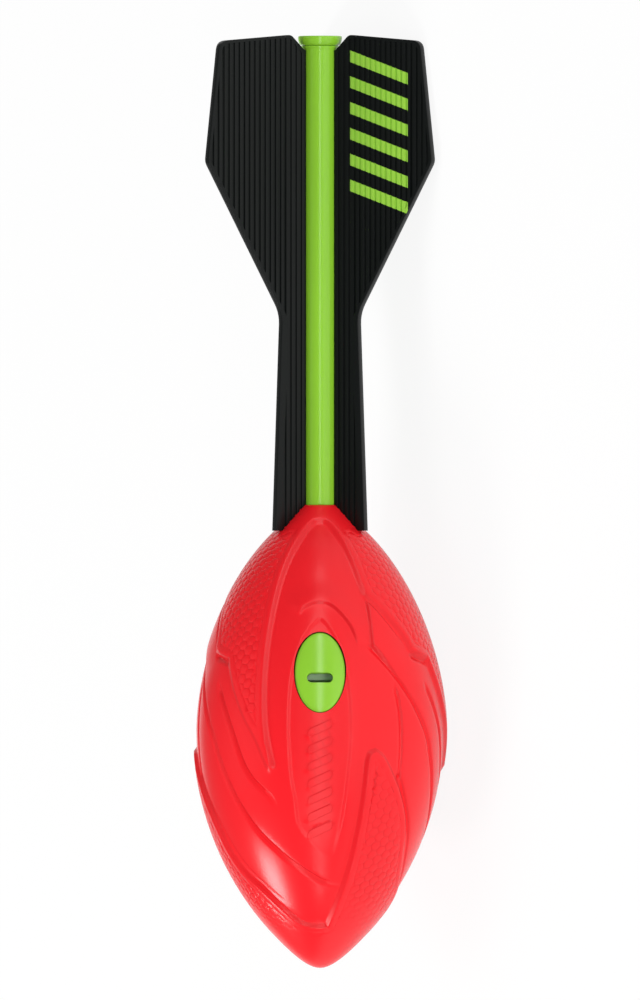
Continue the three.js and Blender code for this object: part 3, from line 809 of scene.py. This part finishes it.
def turned(name, profile, sides, hollow=False):
    """A round piece from radii and places along Z. A hollow one ends where it starts."""
    (radius, place), *rest = profile
    bpy.ops.object.select_all(action="DESELECT")
    fill = "NOTHING" if hollow else "NGON"
    bpy.ops.mesh.primitive_circle_add(
        vertices=sides, radius=radius, fill_type=fill, location=(0, 0, place)
    )
    piece = bpy.context.object
    piece.name = name
    bpy.ops.object.transform_apply(location=True, rotation=False, scale=False)
    bpy.ops.object.mode_set(mode="EDIT")
    bpy.ops.mesh.select_all(action="SELECT")
    for next_radius, next_place in rest:
        bpy.ops.mesh.extrude_region_move(
            TRANSFORM_OT_translate={"value": (0, 0, next_place - place)}
        )
        share = next_radius / radius
        bpy.ops.transform.resize(value=(share, share, 1), center_override=(0, 0, next_place))
        radius, place = next_radius, next_place
    bpy.ops.mesh.select_all(action="SELECT")
    bpy.ops.mesh.remove_doubles(threshold=SAME_PLACE)
    bpy.ops.mesh.normals_make_consistent(inside=False)
    bpy.ops.object.mode_set(mode="OBJECT")
    return piece


def use_modifier(piece, kind, **settings):
    """Adds a modifier and applies it."""
    only(piece)
    modifier = piece.modifiers.new(kind, kind)
    for name, value in settings.items():
        setattr(modifier, name, value)
    bpy.ops.object.modifier_apply(modifier=modifier.name)


def round_edges(piece, width, segments=3, angle=35):
    """Rounds the edges that bend by more than angle, in degrees."""
    use_modifier(
        piece,
        "BEVEL",
        width=width,
        segments=segments,
        limit_method="ANGLE",
        angle_limit=math.radians(angle),
    )


def smooth_faces(piece, angle=40):
    """Shades edges smooth that bend by less than angle, in degrees."""
    only(piece)
    bpy.ops.object.shade_smooth_by_angle(angle=math.radians(angle))


def finish_piece(piece, nodes, material, place=TOY):
    """Puts a piece in its place and says what it stands for."""
    piece.data.transform(place)
    piece.data.materials.clear()
    piece.data.materials.append(material)
    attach(piece, "root")
    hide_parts(*nodes)


class HeadMaker(bpy.types.Operator):
    """Moulded foam head with textured pads, blades, finger channels and whistle pockets"""

    bl_idname = "toy.head"
    bl_label = "Foam head"
    bl_options = {"REGISTER", "UNDO"}
    WHISTLE_SIDES = 112
    MOUTH_SIDES = 72
    ROW_GAP = 0.2 * MM  # between corners on and beside the lines of the relief
    LATTICE_GAP = 0.62  # between corners elsewhere, in shares of the mesh step
    RIM_TRIES = 12
    GRIPS = 7
    GRIP_CORNER = 6  # points on a bar's rounded corner
    GRIP_STEP = 0.6 * MM
    GRIP_SLANT = 0.45
    GRIP_WALL = 0.2 * MM
    MOUTH_CORNER = (0.15 * MM, 0.3 * MM)  # across and along
    ANCHOR_RADIUS = 12.3 * MM  # of the room for the anchor, which starts and ends here:
    ANCHOR_ROOM = (59 * MM, 62 * MM)

    def execute(self, context):
        scene = context.scene
        z, whistle = scene.toy_head, scene.toy_whistle
        head = Head(z)
        relief = Relief(head)
        net = Net(head)
        seats = [np.array(whistle_seat(head, whistle, k)) for k in range(COPIES)]
        rims = [self.whistle_rim(head, whistle, seat) for seat in seats]
        pockets = [net.loop(spots) for spots, _ in rims]
        mouth = net.loop(head.flat(turns_of(self.MOUTH_SIDES), z.length))
        for at in (z.shoulder_at, (z.shoulder_at + z.length) / 2):
            net.loop(head.flat(turns_of(self.MOUTH_SIDES * 2), at))
        net.loops(Cells(head, relief).rings)
        grips = [self.grip(head, i, k) for i in range(self.GRIPS) for k in range(COPIES)]
        for outer, inner in grips:
            net.loop(outer)
            net.loop(inner)
        for rows in relief.rows():
            net.scatter(np.vstack(rows), self.ROW_GAP)
        net.scatter(lattice(head, z.mesh_step), z.mesh_step * self.LATTICE_GAP)
        net.loop(np.zeros((1, 2)))
        spots, heights, faces, moved = net.triangles()
        free = np.isnan(heights)
        heights[free] = relief.height(spots[free])
        on_grip = inside([(outer + inner) / 2 for outer, inner in grips], spots)
        heights[on_grip] += z.grip_rise
        points = [head.points(spots, heights)]
        holes = inside([spots[moved[pocket]] for pocket in pockets], spots[faces].mean(1))
        faces = [tuple(face) for face in faces[~holes]]
        start = len(spots)
        for pocket, (_, oval), seat in zip(pockets, rims, seats):
            wall, more = self.pocket(moved[pocket], oval, start, whistle, seat)
            points.append(wall)
            faces += more
            start += len(wall)
        wall, more = self.bore(moved[mouth], start, z)
        points.append(wall)
        faces += more
        made = make_object("foam_head_skin", np.vstack(points), faces)
        self.close(made)
        edges = np.concatenate([moved[loop] for loop in [mouth, *pockets]])
        self.store_lean_for_painted_shade(made, head, spots, edges)
        finish_piece(made, ["foam_head"], foam_with_painted_shade_material(scene.toy_finish))
        return {"FINISHED"}

    def grip(self, head, row, k):
        """Foot and top of one slanted bar in a finger channel."""
        z = head.sizes
        rings = []
        for inset in (0, self.GRIP_WALL):
            corner = z.grip_length / 3 - inset
            aside = z.grip_width / 2 - inset - corner
            ahead = z.grip_length / 2 - inset - corner
            x, y = [], []
            for quarter, (right, up) in enumerate(((1, 1), (-1, 1), (-1, -1), (1, -1))):
                turn = np.radians(quarter * 90 + np.linspace(0, 90, self.GRIP_CORNER))
                x.append(right * aside + corner * np.cos(turn))
                y.append(up * ahead + corner * np.sin(turn))
            x, y = self.divided(np.concatenate(x), np.concatenate(y))
            s = z.grip_from + row * z.grip_pitch + y + x * self.GRIP_SLANT
            rings.append(head.flat(k * THIRD + x / head.radius_at(s), s))
        return rings

    def divided(self, x, y):
        """The same closed line with its long sides divided."""
        xs, ys = [], []
        for x0, y0, x1, y1 in zip(x, y, np.roll(x, -1), np.roll(y, -1)):
            parts = max(1, math.ceil(math.hypot(x1 - x0, y1 - y0) / self.GRIP_STEP))
            t = np.arange(parts) / parts
            xs.append(x0 + (x1 - x0) * t)
            ys.append(y0 + (y1 - y0) * t)
        return np.concatenate(xs), np.concatenate(ys)

    def whistle_rim(self, head, whistle, seat):
        """Spots round a whistle's oval on the skin, and the oval in the whistle's own frame."""
        turns = turns_of(self.WHISTLE_SIDES)
        across = (whistle.half_width + whistle.gap) * np.cos(turns)
        along = (whistle.half_length + whistle.gap) * np.sin(turns)
        out = np.zeros(len(turns))
        s = np.full(len(turns), whistle.at)
        drop = head.sizes.pad_rise + head.sizes.channel_depth
        for _ in range(self.RIM_TRIES):
            local = np.column_stack([across, along, out, np.ones(len(turns))])
            places = local @ seat.T
            slope = head.slope_at(s)
            size = np.hypot(1, slope)
            s = places[:, 2] - drop * slope / size
            out += head.radius_at(s) - drop / size - np.hypot(places[:, 0], places[:, 1])
        angle = np.arctan2(places[:, 1], places[:, 0])
        return head.flat(angle, s), np.column_stack([across, along])

    def pocket(self, rim, oval, start, whistle, seat):
        """Walls and floor of a whistle's pocket."""
        rings, points = [rim], []
        for out in (-whistle.drop - whistle.thickness, -whistle.pocket_depth):
            local = np.column_stack([oval, np.full(len(oval), out), np.ones(len(oval))])
            points.append((local @ seat.T)[:, :3])
            rings.append(start + np.arange(len(oval)))
            start += len(oval)
        return np.vstack(points), join_rings(rings) + [tuple(rings[-1][::-1])]

    def bore(self, mouth, start, z):
        """The hole for the tube and its anchor."""
        turns = turns_of(len(mouth))
        rings, points = [mouth], []
        across, along = self.MOUTH_CORNER
        front, back = self.ANCHOR_ROOM
        profile = [
            (z.bore_radius + across, z.length),
            (z.bore_radius, z.length - along),
            (z.bore_radius, back),
            (self.ANCHOR_RADIUS, back),
            (self.ANCHOR_RADIUS, front),
        ]
        for radius, at in profile:
            ring = [radius * np.cos(turns), radius * np.sin(turns), np.full(len(turns), at)]
            points.append(np.column_stack(ring))
            rings.append(start + np.arange(len(turns)))
            start += len(turns)
        return np.vstack(points), join_rings(rings) + [tuple(rings[-1])]

    def close(self, made):
        """Turns all faces outwards, and stops where the mesh has a hole."""
        mesh = bmesh.new()
        mesh.from_mesh(made.data)
        bmesh.ops.recalc_face_normals(mesh, faces=mesh.faces)
        bmesh.ops.triangulate(mesh, faces=[f for f in mesh.faces if len(f.verts) > 4])
        loose = [edge for edge in mesh.edges if len(edge.link_faces) != 2]
        if loose:
            raise RuntimeError(f"the head's mesh is open at {len(loose)} edges")
        mesh.to_mesh(made.data)
        mesh.free()
        smooth_faces(made, angle=50)

    def store_lean_for_painted_shade(self, made, head, spots, edges):
        """Stores how far the skin leans from the head's outline, for its colour: leaning walls get
        painted shade, and faces off the skin get the painted shade of the pockets.
        """
        normals = np.zeros(len(made.data.vertices) * 3)
        made.data.vertices.foreach_get("normal", normals)
        outline = (head.points(spots, MM) - head.points(spots, 0)) / MM
        lean = 1 - np.abs((normals.reshape(-1, 3)[: len(spots)] * outline).sum(1))
        lean[edges] = 0
        walls = made.data.attributes.new("wall", "FLOAT", "CORNER").data
        for face in made.data.polygons:
            on_skin = max(face.vertices) < len(spots)
            for corner, vertex in zip(face.loop_indices, face.vertices):
                walls[corner].value = lean[vertex] if on_skin else 1


def join_rings(rings):
    """Faces between each ring of corners and the next."""
    faces = []
    for low, high in zip(rings, rings[1:]):
        for i in range(len(low)):
            j = (i + 1) % len(low)
            faces.append((low[i], low[j], high[j], high[i]))
    return faces


class TubeMaker(bpy.types.Operator):
    """Green tail tube that widens at its end"""

    bl_idname = "toy.tube"
    bl_label = "Tail tube"
    bl_options = {"REGISTER", "UNDO"}
    SIDES = 96
    EDGE = 0.25 * MM
    RIM = 0.3 * MM  # straight part of the widened end
    # How the tube widens: shares of the flare's length from its start, and of its reach
    FLARE = ((-0.5, 0), (0.2, 0.3))

    def execute(self, context):
        z = context.scene.toy_tail
        inner = z.tube_radius - z.tube_wall
        reach = z.flare_radius - z.tube_radius
        end = z.flare_at + z.flare_length
        profile = [(inner, z.tube_front), (z.tube_radius, z.tube_front)]
        for ahead, share in self.FLARE:
            profile.append((z.tube_radius + reach * share, z.flare_at + z.flare_length * ahead))
        profile += [(z.flare_radius, end - self.RIM), (z.flare_radius, end)]
        profile += [(inner, end), (inner, z.tube_front)]
        tube = turned("tail_tube", profile, self.SIDES, hollow=True)
        round_edges(tube, self.EDGE)
        smooth_faces(tube)
        material = green_material(context.scene.toy_finish)
        finish_piece(tube, ["core_tube"], material)
        return {"FINISHED"}


class CapMaker(bpy.types.Operator):
    """Green cap that closes the tube's tail end"""

    bl_idname = "toy.cap"
    bl_label = "Tail cap"
    bl_options = {"REGISTER", "UNDO"}
    SIDES = 96
    SPIGOT = 9 * MM
    EDGE = 0.1 * MM
    # The cap's side, in shares of how far its rim stands out and of its thickness
    BULGE = (
        (0, 0),
        (0.42, 0.1),
        (0.72, 0.28),
        (0.92, 0.52),
        (1, 0.76),
        (0.98, 0.88),
        (0.88, 0.96),
        (0.64, 1),
    )

    def execute(self, context):
        z = context.scene.toy_tail
        spigot = z.tube_radius - z.tube_wall - z.gap
        under = z.flare_at + z.flare_length + z.parting
        top = z.flare_at + z.flare_length + z.gap + z.cap_thickness
        profile = [(spigot, under - self.SPIGOT), (spigot, under)]
        for share, rise in self.BULGE:
            radius = z.flare_radius + (z.cap_radius - z.flare_radius) * share
            profile.append((radius, under + (top - under) * rise))
        cap = turned("tail_end_cap", profile, self.SIDES)
        round_edges(cap, self.EDGE)
        smooth_faces(cap)
        material = green_material(context.scene.toy_finish)
        finish_piece(cap, ["tail_cap"], material)
        return {"FINISHED"}


class FinMaker(bpy.types.Operator):
    """Three black ribbed fins, one with printed bars"""

    bl_idname = "toy.fins"
    bl_label = "Fins"
    bl_options = {"REGISTER", "UNDO"}
    MERGE = 0.005 * MM
    FLAT = 0.01  # radians between two faces that are one flat face
    FACING = 0.1  # how far a face has to look to the front to be printed

    def execute(self, context):
        scene = context.scene
        finish = scene.toy_finish
        printed = printed_material(finish, scene.toy_fin)
        for k in range(COPIES):
            fin = self.copy(frame["nodes"][f"fin_{k + 1}"], f"fin_blade_{k + 1}")
            round_edges(fin, scene.toy_fin.edge_round, segments=2, angle=25)
            smooth_faces(fin, angle=30)
            self.mark(fin, THIRD / 2 + THIRD * k)
            material = black_material(finish) if k else printed
            place = Matrix.Identity(4)
            finish_piece(fin, [f"fin_{k + 1}"], material, place)
        return {"FINISHED"}

    def copy(self, node, name):
        """A merged copy of a fin of the solids, with its flat faces whole."""
        fin = node.copy()
        fin.data = node.data.copy()
        for key in list(fin.keys()):
            del fin[key]
        fin.parent = None
        fin.name = name
        bpy.context.collection.objects.link(fin)
        mesh = bmesh.new()
        mesh.from_mesh(fin.data)
        bmesh.ops.remove_doubles(mesh, verts=mesh.verts, dist=self.MERGE)
        edges, verts = mesh.edges[:], mesh.verts[:]
        bmesh.ops.dissolve_limit(mesh, angle_limit=self.FLAT, verts=verts, edges=edges)
        mesh.to_mesh(fin.data)
        mesh.free()
        return fin

    def mark(self, fin, turn):
        """Stores how far each point is from the axis and from the nose, for the printed bars."""
        back = TOY.inverted()
        flat = fin.data.uv_layers.new(name="Print")
        out = Vector((math.cos(turn), math.sin(turn), 0))
        front = Vector((math.sin(turn), -math.cos(turn), 0))
        for face in fin.data.polygons:
            in_front = (back.to_3x3() @ face.normal).dot(front) > self.FACING
            for loop in face.loop_indices:
                place = back @ fin.data.vertices[fin.data.loops[loop].vertex_index].co
                flat.data[loop].uv = (place.dot(out), place.z) if in_front else (-1, -1)


class WhistleMaker(bpy.types.Operator):
    """Three oval whistle covers with an air slot, and the materials of the hidden pieces"""

    bl_idname = "toy.whistles"
    bl_label = "Whistles"
    bl_options = {"REGISTER", "UNDO"}
    SIDES = 128
    SLOT_SIDES = 64
    DOME_RINGS = 12
    RIM = 0.97  # the dome starts here, in shares of the cover's half width and length
    SHOULDER = 0.25 * MM  # from there down to the straight side
    EDGE = 0.35 * MM
    CUT = 8 * MM

    def execute(self, context):
        scene = context.scene
        finish, z = scene.toy_finish, scene.toy_whistle
        head = Head(scene.toy_head)
        covers = [self.cover(z)]
        for k in range(1, COPIES):
            covers.append(covers[0].copy())
            covers[k].data = covers[0].data.copy()
            covers[k].name = f"whistle_cover_{k + 1}"
            bpy.context.collection.objects.link(covers[k])
        for k, cover in enumerate(covers):
            seat = TOY @ whistle_seat(head, z, k)
            node = f"whistle_face_{k + 1}"
            finish_piece(cover, [node], green_material(finish), seat)
            self.dress(f"whistle_cup_{k + 1}", cup_painted_light_material(finish))
        self.dress("nose_anchor", hidden_material(finish))
        return {"FINISHED"}

    def dress(self, node, material):
        """Gives a piece of the solids its material."""
        materials = frame["nodes"][node].data.materials
        materials.clear()
        materials.append(material)

    def cover(self, z):
        """A domed oval cover with its slot, made as a round one and then stretched."""
        side = -z.drop - self.SHOULDER
        profile = [(1, -z.drop - z.thickness), (1, side)]
        for i in range(self.DOME_RINGS, 0, -1):
            share = i / self.DOME_RINGS
            profile.append((self.RIM * share, -z.drop + z.dome * (1 - share**2)))
        cover = turned("whistle_cover_1", profile, self.SIDES)
        only(cover)
        cover.scale = (z.half_width, z.half_length, 1)
        bpy.ops.object.transform_apply(location=False, rotation=False, scale=True)
        slot = self.slot_cutter(z)
        use_modifier(cover, "BOOLEAN", operation="DIFFERENCE", object=slot, solver="EXACT")
        bpy.data.objects.remove(slot)
        round_edges(cover, self.EDGE, angle=50)
        smooth_faces(cover, angle=35)
        return cover

    def slot_cutter(self, z):
        """A round rod whose halves are moved apart, to the length of the slot."""
        radius = z.slot_width / 2
        rod = turned("slot", [(radius, -self.CUT), (radius, self.CUT)], self.SLOT_SIDES)
        bpy.ops.object.mode_set(mode="EDIT")
        bpy.ops.transform.rotate(
            value=math.pi / self.SLOT_SIDES, orient_axis="Z", center_override=(0, 0, 0)
        )
        for side in (-1, 1):
            bpy.ops.mesh.select_all(action="DESELECT")
            bpy.ops.object.mode_set(mode="OBJECT")
            for vertex in rod.data.vertices:
                vertex.select = vertex.co.x * side > 0
            bpy.ops.object.mode_set(mode="EDIT")
            reach = side * (z.slot_length / 2 - radius)
            bpy.ops.transform.translate(value=(reach, -z.slot_offset, 0))
        bpy.ops.object.mode_set(mode="OBJECT")
        return rod


# Materials


def add_node(tree, kind, inputs=None, **settings):
    """Adds a node, sets its settings, and sets or links its inputs."""
    node = tree.nodes.new(kind)
    for name, value in settings.items():
        setattr(node, name, value)
    for name, value in (inputs or {}).items():
        if isinstance(value, bpy.types.NodeSocket):
            tree.links.new(value, node.inputs[name])
        else:
            node.inputs[name].default_value = value
    return node


def moulded(name, colour, roughness, specular=0.5, grain=None):
    """A moulded material, shared by all its pieces.

    colour is plain, or a function that adds the nodes for it. grain is the width and the height
    of the small bumps that the mould left.
    """
    material = bpy.data.materials.get(name) or bpy.data.materials.new(name)
    material.use_nodes = True
    tree = material.node_tree
    tree.nodes.clear()
    base = colour(tree) if callable(colour) else (*colour, 1)
    inputs = {"Base Color": base, "Roughness": roughness, "Specular IOR Level": specular}
    if grain:
        place = add_node(tree, "ShaderNodeTexCoord").outputs["Object"]
        noise = {"Vector": place, "Scale": 1 / grain[0], "Detail": 3.0}
        noise = add_node(tree, "ShaderNodeTexNoise", noise).outputs["Fac"]
        bump = {"Height": noise, "Distance": grain[1], "Strength": 1.0}
        inputs["Normal"] = add_node(tree, "ShaderNodeBump", bump).outputs["Normal"]
    shader = add_node(tree, "ShaderNodeBsdfPrincipled", inputs)
    add_node(tree, "ShaderNodeOutputMaterial", {"Surface": shader.outputs["BSDF"]})
    return material


def foam_with_painted_shade_material(finish):
    """Polyurethane foam with the closed skin that it gets in the mould, with painted shade on its steep
    walls and in its pockets.
    """

    # Painted shade: the steep walls of the relief are painted a shade darker, and the foam in the pockets
    # is painted dark brown, which stands in for the shade in the gap round each oval
    def skin(tree):
        lean = add_node(tree, "ShaderNodeAttribute", attribute_name="wall").outputs["Fac"]
        steep = {"Value": lean, "From Min": 0.03, "From Max": 0.16}
        steep = add_node(tree, "ShaderNodeMapRange", steep).outputs["Result"]
        paint = {"Factor": steep, 6: (*finish.foam, 1), 7: (*finish.foam_painted_shade, 1)}
        paint = add_node(tree, "ShaderNodeMix", paint, data_type="RGBA").outputs[2]
        # Faces off the skin, in the pockets and the bore, get the painted shade of the pockets
        inner = {0: lean, 1: 0.9}
        inner = add_node(tree, "ShaderNodeMath", inner, operation="GREATER_THAN").outputs[0]
        paint = {"Factor": inner, 6: paint, 7: (*finish.foam_pocket_painted_shade, 1)}
        return add_node(tree, "ShaderNodeMix", paint, data_type="RGBA").outputs[2]

    # Satin with broad soft highlights, and pores under a millimetre that only just break them
    grain = (0.9 * MM, 0.012 * MM)
    return moulded("polyurethane_foam_with_painted_shade", skin, 0.27, specular=0.31, grain=grain)


def green_material(finish):
    """Polyethylene, injection moulded in a polished mould."""
    # Glossy: lights show as clear stripes, which waver a little where the wall sank as it cooled
    grain = (2.5 * MM, 0.004 * MM)
    return moulded("moulded_green_polyethylene", finish.green, 0.2, grain=grain)


def cup_painted_light_material(finish):
    """The same polyethylene, unpolished, inside the whistles."""
    # Painted light: pale and dull, so that the slot shows as a grey green hollow and not as a black one;
    # the paleness stands in for the light that hardly reaches inside
    return moulded("pale_chamber_polyethylene_painted_light", finish.chamber_painted_light, 0.5)


def hidden_material(finish):
    """Grey polyethylene, as it comes from the mould."""
    # Dull and even, without the polish of the pieces that show
    return moulded("moulded_grey_polyethylene", finish.hidden, 0.55)


# An etched mould leaves black plastic so dull that only the edges of its ribs catch the light.
# The etching is really about 0.1 mm wide, and is drawn at 0.5 mm so that it shows.
ETCHED = {"roughness": 0.4, "specular": 0.25, "grain": (0.5 * MM, 0.02 * MM)}


def black_material(finish):
    """Polyethylene, injection moulded in an etched mould."""
    return moulded("moulded_black_polyethylene", finish.black, **ETCHED)


def printed_material(finish, fin):
    """The same polyethylene, pad printed with slanted bars inside a band along the fin."""

    # The print lies on the ribs as a flat, even film with crisp edges
    def bars(tree):
        place = add_node(tree, "ShaderNodeUVMap", uv_map="Print").outputs["UV"]
        place = add_node(tree, "ShaderNodeSeparateXYZ", {"Vector": place}).outputs
        values = {"out": place["X"], "along": place["Y"]}
        steps = [
            ("aside", "MULTIPLY", "out", fin.mark_slant),
            ("slanted", "ADD", "along", "aside"),
            ("start", "SUBTRACT", "slanted", fin.mark_from),
            ("bar", "DIVIDE", "start", fin.mark_pitch),
            ("part", "FRACT", "bar"),
            ("mask", "LESS_THAN", "part", fin.mark_width),
        ]
        for value, low, high in (("out", fin.mark_inner, fin.mark_outer), ("bar", 0, fin.marks)):
            steps.append(("above", "GREATER_THAN", value, low))
            steps.append(("mask", "MULTIPLY", "mask", "above"))
            steps.append(("below", "LESS_THAN", value, high))
            steps.append(("mask", "MULTIPLY", "mask", "below"))
        for name, operation, *parts in steps:
            inputs = {i: values.get(part, part) for i, part in enumerate(parts)}
            step = add_node(tree, "ShaderNodeMath", inputs, operation=operation)
            values[name] = step.outputs[0]
        ink = {"Factor": values["mask"], 6: (*finish.black, 1), 7: (*finish.print_green, 1)}
        return add_node(tree, "ShaderNodeMix", ink, data_type="RGBA").outputs[2]

    return moulded("printed_black_polyethylene", bars, **ETCHED)


# Studio


def area_light(name, target, way, distance, size, power, along=None):
    """A light that looks at the target from this way off it."""
    data = bpy.data.lights.new(name, "AREA")
    data.shape = "RECTANGLE"
    data.size, data.size_y = size
    data.energy = power
    light = bpy.data.objects.new(name, data)
    bpy.context.collection.objects.link(light)
    side = along or Vector((0, 0, 1)).cross(way).normalized()
    turn = Matrix((side, way.cross(side), way)).transposed().to_4x4()
    light.matrix_world = Matrix.Translation(target + way * distance) @ turn
    light.visible_camera = False
    return light


class StageMaker(bpy.types.Operator):
    """Floor, light and camera"""

    bl_idname = "toy.stage"
    bl_label = "Studio"
    bl_options = {"REGISTER", "UNDO"}
    FLOOR = 3
    KEY_WAY = Vector((-0.7055, 0.2816, 0.65)).normalized()
    DISTANCE = 2
    KEY_SIZE = (0.6, 0.6)
    LOW_SIZE = (1.6, 0.45)
    TOP_SIZE = (1.6, 1.6)
    LOW_LEAN = math.radians(22)  # the low fill light stands this far to the right of the camera
    TOP_LEAN = math.radians(15)  # the top one leans this far to the camera's side
    STRIPS = (-51, -17, 17, 51)  # degrees from the camera's way towards the tail
    STRIP_DISTANCE = 2.6
    STRIP_SIZE = (1.6, 0.25)
    SENSOR = 36
    FAR = 20  # metres from the camera that it still shows
    HORIZON = 0.15  # the white backdrop fades to the ceiling up to this height

    def execute(self, context):
        scene = context.scene
        z = scene.toy_studio
        whistle, right, along = TOY.to_3x3().transposed()
        target = TOY @ Vector((0, 0, z.look_at))
        turn = Matrix((right, along, whistle)).transposed().to_4x4()
        self.camera(scene, z, target, turn, whistle)
        corners = [(-1, -1, 0), (1, -1, 0), (1, 1, 0), (-1, 1, 0)]
        floor = make_object("floor", [Vector(c) * self.FLOOR for c in corners], [(0, 1, 2, 3)])
        floor.data.materials.append(floor_material(scene.toy_finish))
        lights = [area_light("key", target, self.KEY_WAY, self.DISTANCE, self.KEY_SIZE, z.key)]
        low_way = whistle * math.cos(self.LOW_LEAN) + right * math.sin(self.LOW_LEAN)
        top_way = whistle * math.sin(self.TOP_LEAN) - right * math.cos(self.TOP_LEAN)
        fills = (("low", low_way, self.LOW_SIZE, z.low), ("top", top_way, self.TOP_SIZE, z.top))
        for name, way, size, power in fills:
            lights.append(area_light(name, target, way, self.DISTANCE, size, power, along))
            lights[-1].visible_glossy = False
        for degrees in self.STRIPS:
            lean = math.radians(degrees)
            way = whistle * math.cos(lean) + along * math.sin(lean)
            side = along * math.cos(lean) - whistle * math.sin(lean)
            distance, size = self.STRIP_DISTANCE, self.STRIP_SIZE
            lights.append(area_light("strip", target, way, distance, size, z.strip, side))
        self.world(scene, z)
        scene.view_settings.view_transform = "Standard"
        return {"FINISHED"}

    def camera(self, scene, z, target, turn, toward):
        """A long lens far away, as the photograph shows no perspective."""
        data = bpy.data.cameras.new("camera")
        camera = bpy.data.objects.new("camera", data)
        bpy.context.collection.objects.link(camera)
        data.sensor_width = self.SENSOR
        data.lens = data.sensor_width * z.camera_distance / z.frame_height
        data.clip_end = self.FAR
        camera.matrix_world = Matrix.Translation(target + toward * z.camera_distance) @ turn
        scene.camera = camera

    def world(self, scene, z):
        """Even light all round, and a white backdrop under a grey ceiling to be seen and mirrored."""
        world = bpy.data.worlds.new("studio")
        scene.world = world
        world.use_nodes = True
        tree = world.node_tree
        tree.nodes.clear()
        white = (1, 1, 1, 1)
        way = add_node(tree, "ShaderNodeTexCoord").outputs["Generated"]
        up = add_node(tree, "ShaderNodeSeparateXYZ", {"Vector": way}).outputs["Z"]
        room = {"Value": up, "From Min": 0.0, "From Max": self.HORIZON}
        room.update({"To Min": 1.0, "To Max": z.ceiling})
        room = add_node(tree, "ShaderNodeMapRange", room, interpolation_type="SMOOTHSTEP")
        room = {"Color": white, "Strength": room.outputs["Result"]}
        room = add_node(tree, "ShaderNodeBackground", room).outputs[0]
        even = add_node(tree, "ShaderNodeBackground", {"Color": white, "Strength": z.sky}).outputs[0]
        mix = add_node(tree, "ShaderNodeMixShader", {0: seen_ray(tree), 1: even, 2: room})
        add_node(tree, "ShaderNodeOutputWorld", {"Surface": mix.outputs[0]})


def seen_ray(tree):
    """1 for rays from the camera and for reflections, 0 for light."""
    path = add_node(tree, "ShaderNodeLightPath").outputs
    kinds = {0: path["Is Camera Ray"], 1: path["Is Glossy Ray"]}
    shown = add_node(tree, "ShaderNodeMath", kinds, operation="MAXIMUM")
    kinds = {0: shown.outputs[0], 1: path["Is Transmission Ray"]}
    return add_node(tree, "ShaderNodeMath", kinds, operation="MAXIMUM").outputs[0]


def floor_material(finish):
    """Painted studio floor, lit up to white for the camera."""
    # Matte white, on which the toy's shadow shows only faintly
    material = bpy.data.materials.new("painted_floor")
    material.use_nodes = True
    tree = material.node_tree
    tree.nodes.clear()
    paint = add_node(tree, "ShaderNodeBsdfDiffuse", {"Color": (*finish.floor, 1)}).outputs[0]
    white = {"Color": (1, 1, 1, 1), "Strength": 1.0}
    white = add_node(tree, "ShaderNodeEmission", white).outputs[0]
    share = {0: seen_ray(tree), 1: finish.floor_white}
    share = add_node(tree, "ShaderNodeMath", share, operation="MULTIPLY").outputs[0]
    mix = add_node(tree, "ShaderNodeMixShader", {0: share, 1: paint, 2: white})
    add_node(tree, "ShaderNodeOutputMaterial", {"Surface": mix.outputs[0]})
    return material


class ToyPanel(bpy.types.Panel):
    """Sizes, colours and buttons of the throwing toy"""

    bl_idname = "VIEW3D_PT_throwing_toy"
    bl_label = "Throwing toy"
    bl_space_type = "VIEW_3D"
    bl_region_type = "UI"
    bl_category = "Throwing toy"

    def draw(self, context):
        for name, group in GROUPS.items():
            box = self.layout.box()
            box.label(text=group.__doc__)
            for prop in group.__annotations__:
                box.prop(getattr(context.scene, name), prop)
        for maker in MAKERS:
            self.layout.operator(maker.bl_idname)


MAKERS = (HeadMaker, TubeMaker, CapMaker, FinMaker, WhistleMaker, StageMaker)
CLASSES = (*GROUPS.values(), *MAKERS, ToyPanel)


def register():
    for cls in CLASSES:
        bpy.utils.register_class(cls)
    for name, group in GROUPS.items():
        setattr(bpy.types.Scene, name, bpy.props.PointerProperty(type=group))


def unregister():
    for name in GROUPS:
        delattr(bpy.types.Scene, name)
    for cls in reversed(CLASSES):
        bpy.utils.unregister_class(cls)


def main():
    register()
    for maker in MAKERS:
        group, name = maker.bl_idname.split(".")
        if getattr(getattr(bpy.ops, group), name)() != {"FINISHED"}:
            raise RuntimeError(f"{maker.bl_label} was not made")


if __name__ == "__main__":
    main()
